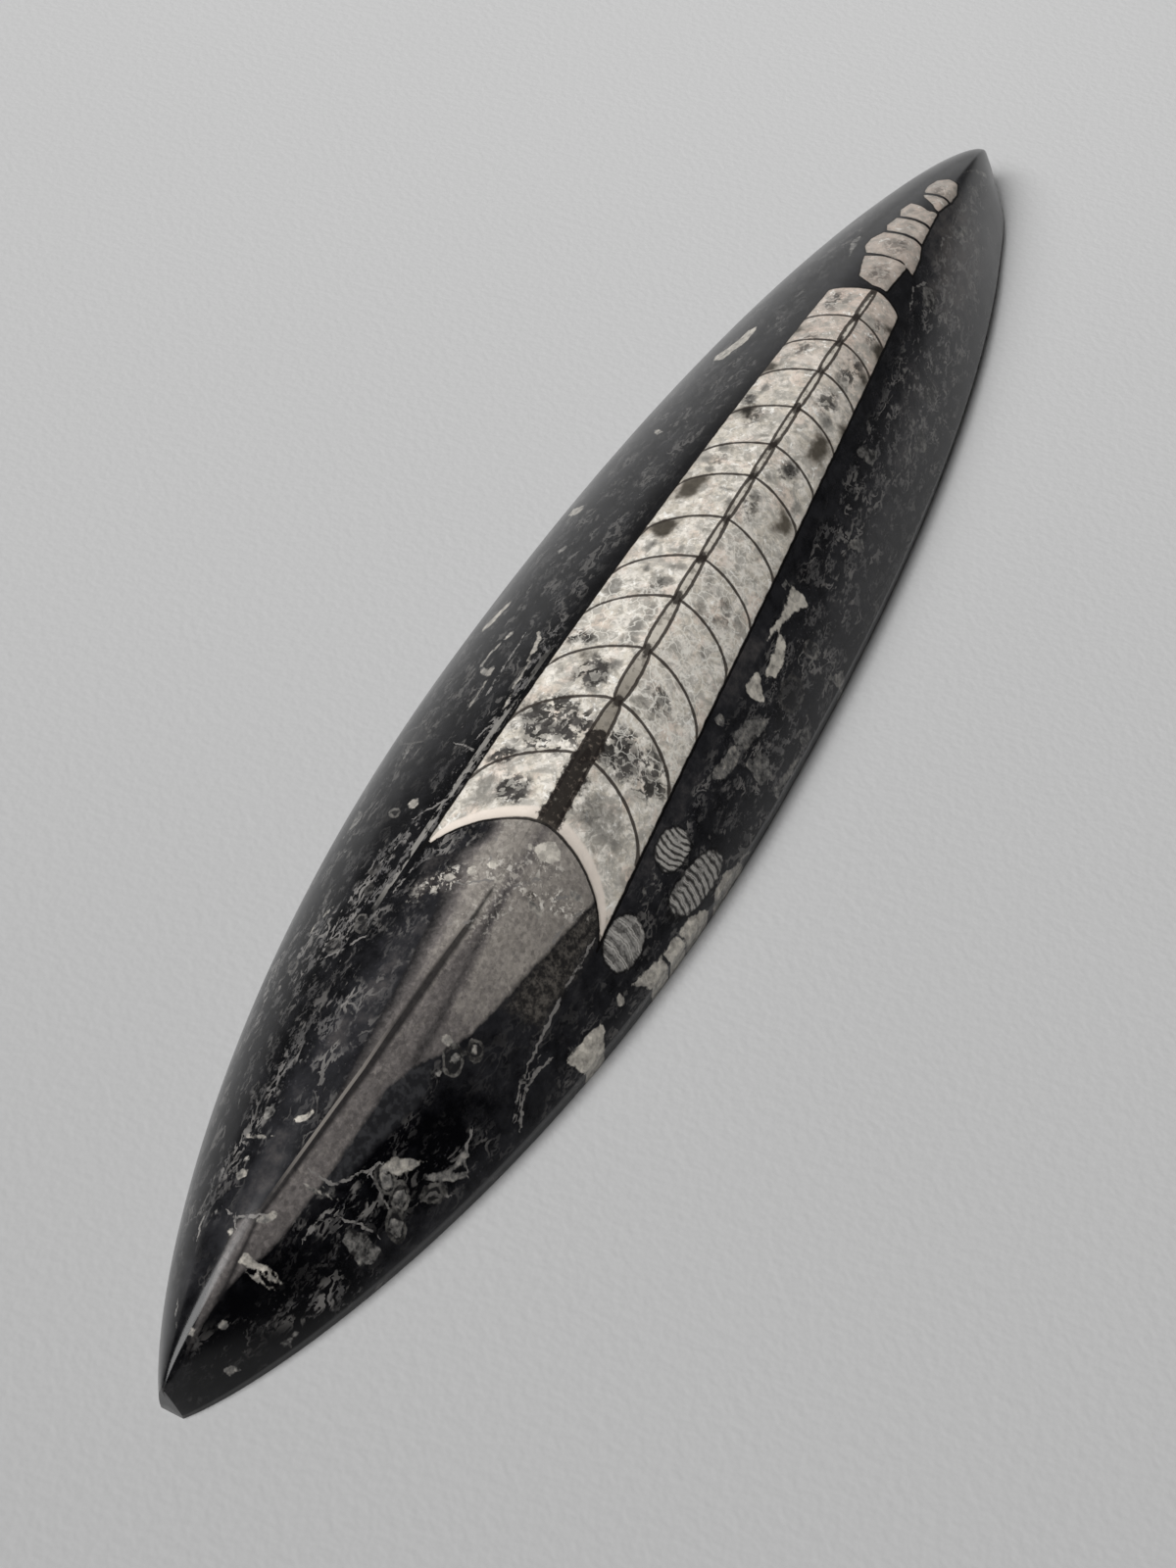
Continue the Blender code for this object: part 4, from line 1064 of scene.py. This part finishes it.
def stone_cage(columns, rows):
    """A square sheet from -1 to 1 that becomes the top, a skirt down to z = -1 round it, and
    one flat face across its foot, the back."""
    cage = bmesh.new()
    bmesh.ops.create_grid(cage, x_segments=columns, y_segments=rows, size=1.0)
    for row in range(SKIRT_ROWS):
        made = bmesh.ops.extrude_edge_only(cage, edges=boundary_edges(cage))["geom"]
        for item in made:
            if isinstance(item, bmesh.types.BMVert):
                item.co.z = -(row + 1.0) / SKIRT_ROWS
    back = bmesh.ops.contextual_create(cage, geom=boundary_edges(cage))["faces"]
    for face in cage.faces:
        face.smooth = True
    for face in back:
        face.smooth = False
        face.material_index = 1
    bmesh.ops.recalc_face_normals(cage, faces=cage.faces)
    return cage


def look_at(thing, place, aim):
    """Puts a lamp or a camera at a place and points it at another."""
    thing.location = place
    thing.rotation_mode = "QUATERNION"
    thing.rotation_quaternion = (Vector(aim) - Vector(place)).to_track_quat("-Z", "Y")


class FOSSIL_OT_stone(bpy.types.Operator):
    """Build the polished stone with the fossil drawn flush in its top"""
    bl_idname = "fossil.stone"
    bl_label = "Polished Stone"

    def execute(self, context):
        settings = context.scene.fossil_stone
        cage = stone_cage(settings.columns, settings.rows)
        mesh = bpy.data.meshes.new(PIECE)
        cage.to_mesh(mesh)
        cage.free()

        flat = np.empty(len(mesh.vertices) * 3)
        mesh.vertices.foreach_get("co", flat)
        flat = flat.reshape(-1, 3)
        station = flat[:, 0] * (1.0 + TIP_CROWDING - TIP_CROWDING * flat[:, 0] ** 2)
        across = np.sin(0.5 * np.pi * flat[:, 1])
        points = top_points(station, across)
        bend = WAVE_BEND_DEPTH * np.sin(points[:, 1] / WAVE_BEND)
        wave = settings.waviness * (np.sin(points[:, 0] / WAVE_ALONG + bend)
                                    * np.sin(points[:, 1] / WAVE_ACROSS + WAVE_START))
        top = flat[:, 2] == 0.0
        points[:, 2] -= np.where(top, (1.0 - across ** 2) * (settings.waviness + wave), 0.0)
        points[:, 2] *= 1.0 + flat[:, 2]
        mesh.vertices.foreach_set("co", points.ravel())

        x, y = points[:, 0] / MM, points[:, 1] / MM
        fields = {**shell_fields(x, y), **living_chamber_fields(x, y), **rock_fields(x, y)}
        for name, values in fields.items():
            layer = mesh.attributes.new(name, "FLOAT", "POINT")
            layer.data.foreach_set("value", values.astype(np.float32))

        mesh.materials.append(polished_limestone(settings, fields))
        mesh.materials.append(sawn_limestone())
        mesh.update()
        stone = bpy.data.objects.new(PIECE, mesh)
        context.scene.collection.objects.link(stone)
        rounding = stone.modifiers.new("worn_edge", "BEVEL")
        rounding.width = settings.edge_rounding
        rounding.segments = 3
        rounding.limit_method = "ANGLE"
        rounding.angle_limit = EDGE_ANGLE
        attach(stone, "root")
        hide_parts(STONE)
        return {"FINISHED"}


class FOSSIL_OT_stage(bpy.types.Operator):
    """Lay the floor, hang the lamp, light the room and place the camera"""
    bl_idname = "fossil.stage"
    bl_label = "Stage"

    def execute(self, context):
        scene = context.scene
        settings = scene.fossil_stage
        bpy.ops.mesh.primitive_plane_add(size=settings.floor_size,
                                         location=(0.0, 0.0, -FLOOR_DROP))
        floor = context.active_object
        floor.name = "floor"
        floor.data.materials.append(stage_surface(settings))

        lamp = bpy.data.lights.new("softbox", "AREA")
        lamp.energy = settings.softbox_power
        lamp.size = SOFTBOX_SIDE
        softbox = bpy.data.objects.new("softbox", lamp)
        scene.collection.objects.link(softbox)
        look_at(softbox, SOFTBOX_PLACE, (0.0, 0.0, 0.0))

        # The room: dark behind the camera, a ceiling that is paler over the far end, and a
        # bright window low down beyond it.
        scene.world = bpy.data.worlds.new("studio")
        scene.world.use_nodes = True
        scene.world.node_tree.nodes.clear()
        add = functools.partial(add_node, scene.world.node_tree)
        direction = add("TexCoord", output="Generated")
        height = add("SeparateXYZ", [direction], output=2)
        toward = add("VectorMath", [direction, CEILING_WAY], output="Value",
                     operation="DOT_PRODUCT")
        room = inlay(add, "#2A2B2C", "#FFFFFF", toward, -0.2, 1.6)
        ceiling = (settings.room_brightness,) * 3 + (1.0,)
        room = add("MixRGB", [1.0, room, ceiling],
                   blend_type="MULTIPLY")
        level = add("VectorMath", [direction, (1.0, 1.0, 0.0)], operation="MULTIPLY")
        level = add("VectorMath", [level], operation="NORMALIZE")
        facing = add("VectorMath", [level, WINDOW_WAY], output="Value",
                     operation="DOT_PRODUCT")
        window = add("MapRange", [facing, 0.82, 0.96], interpolation_type="SMOOTHSTEP")
        low = add("MapRange", [height, 0.36, 0.18], interpolation_type="SMOOTHSTEP")
        window = add("Math", [window, low], operation="MULTIPLY")
        bright = (settings.window_brightness,) * 3 + (1.0,)
        room = add("MixRGB", [window, room, bright])
        seen = add("LightPath", output="Is Camera Ray")
        room = add("MixRGB", [seen, room, "#C8C8C8"])
        light = add("Background", {"Color": room, "Strength": 1.0})
        add("OutputWorld", {"Surface": light}, output=None)

        camera = bpy.data.cameras.new("camera")
        camera.sensor_width = SENSOR_MM
        camera.lens = settings.lens
        camera.clip_end = 20.0
        viewpoint = bpy.data.objects.new("camera", camera)
        scene.collection.objects.link(viewpoint)
        look_at(viewpoint, CAMERA_PLACE, CAMERA_AIM)
        scene.camera = viewpoint
        scene.view_settings.view_transform = "Standard"
        return {"FINISHED"}


class FOSSIL_PT_panel(bpy.types.Panel):
    """Lists the fossil's pieces and their settings"""
    bl_idname = "FOSSIL_PT_panel"
    bl_label = "Orthoceras Fossil"
    bl_space_type = "VIEW_3D"
    bl_region_type = "UI"
    bl_category = "Fossil"

    def draw(self, context):
        for operator, settings in ((FOSSIL_OT_stone, context.scene.fossil_stone),
                                   (FOSSIL_OT_stage, context.scene.fossil_stage)):
            box = self.layout.box()
            box.operator(operator.bl_idname)
            for name in settings.__annotations__:
                box.prop(settings, name)


CLASSES = (FossilStoneSettings, FossilStageSettings, FOSSIL_OT_stone, FOSSIL_OT_stage,
           FOSSIL_PT_panel)


def register():
    for item in CLASSES:
        bpy.utils.register_class(item)
    bpy.types.Scene.fossil_stone = bpy.props.PointerProperty(type=FossilStoneSettings)
    bpy.types.Scene.fossil_stage = bpy.props.PointerProperty(type=FossilStageSettings)


def unregister():
    del bpy.types.Scene.fossil_stage
    del bpy.types.Scene.fossil_stone
    for item in reversed(CLASSES):
        bpy.utils.unregister_class(item)


def main():
    register()
    bpy.ops.fossil.stone()
    bpy.ops.fossil.stage()


if __name__ == "__main__":
    main()
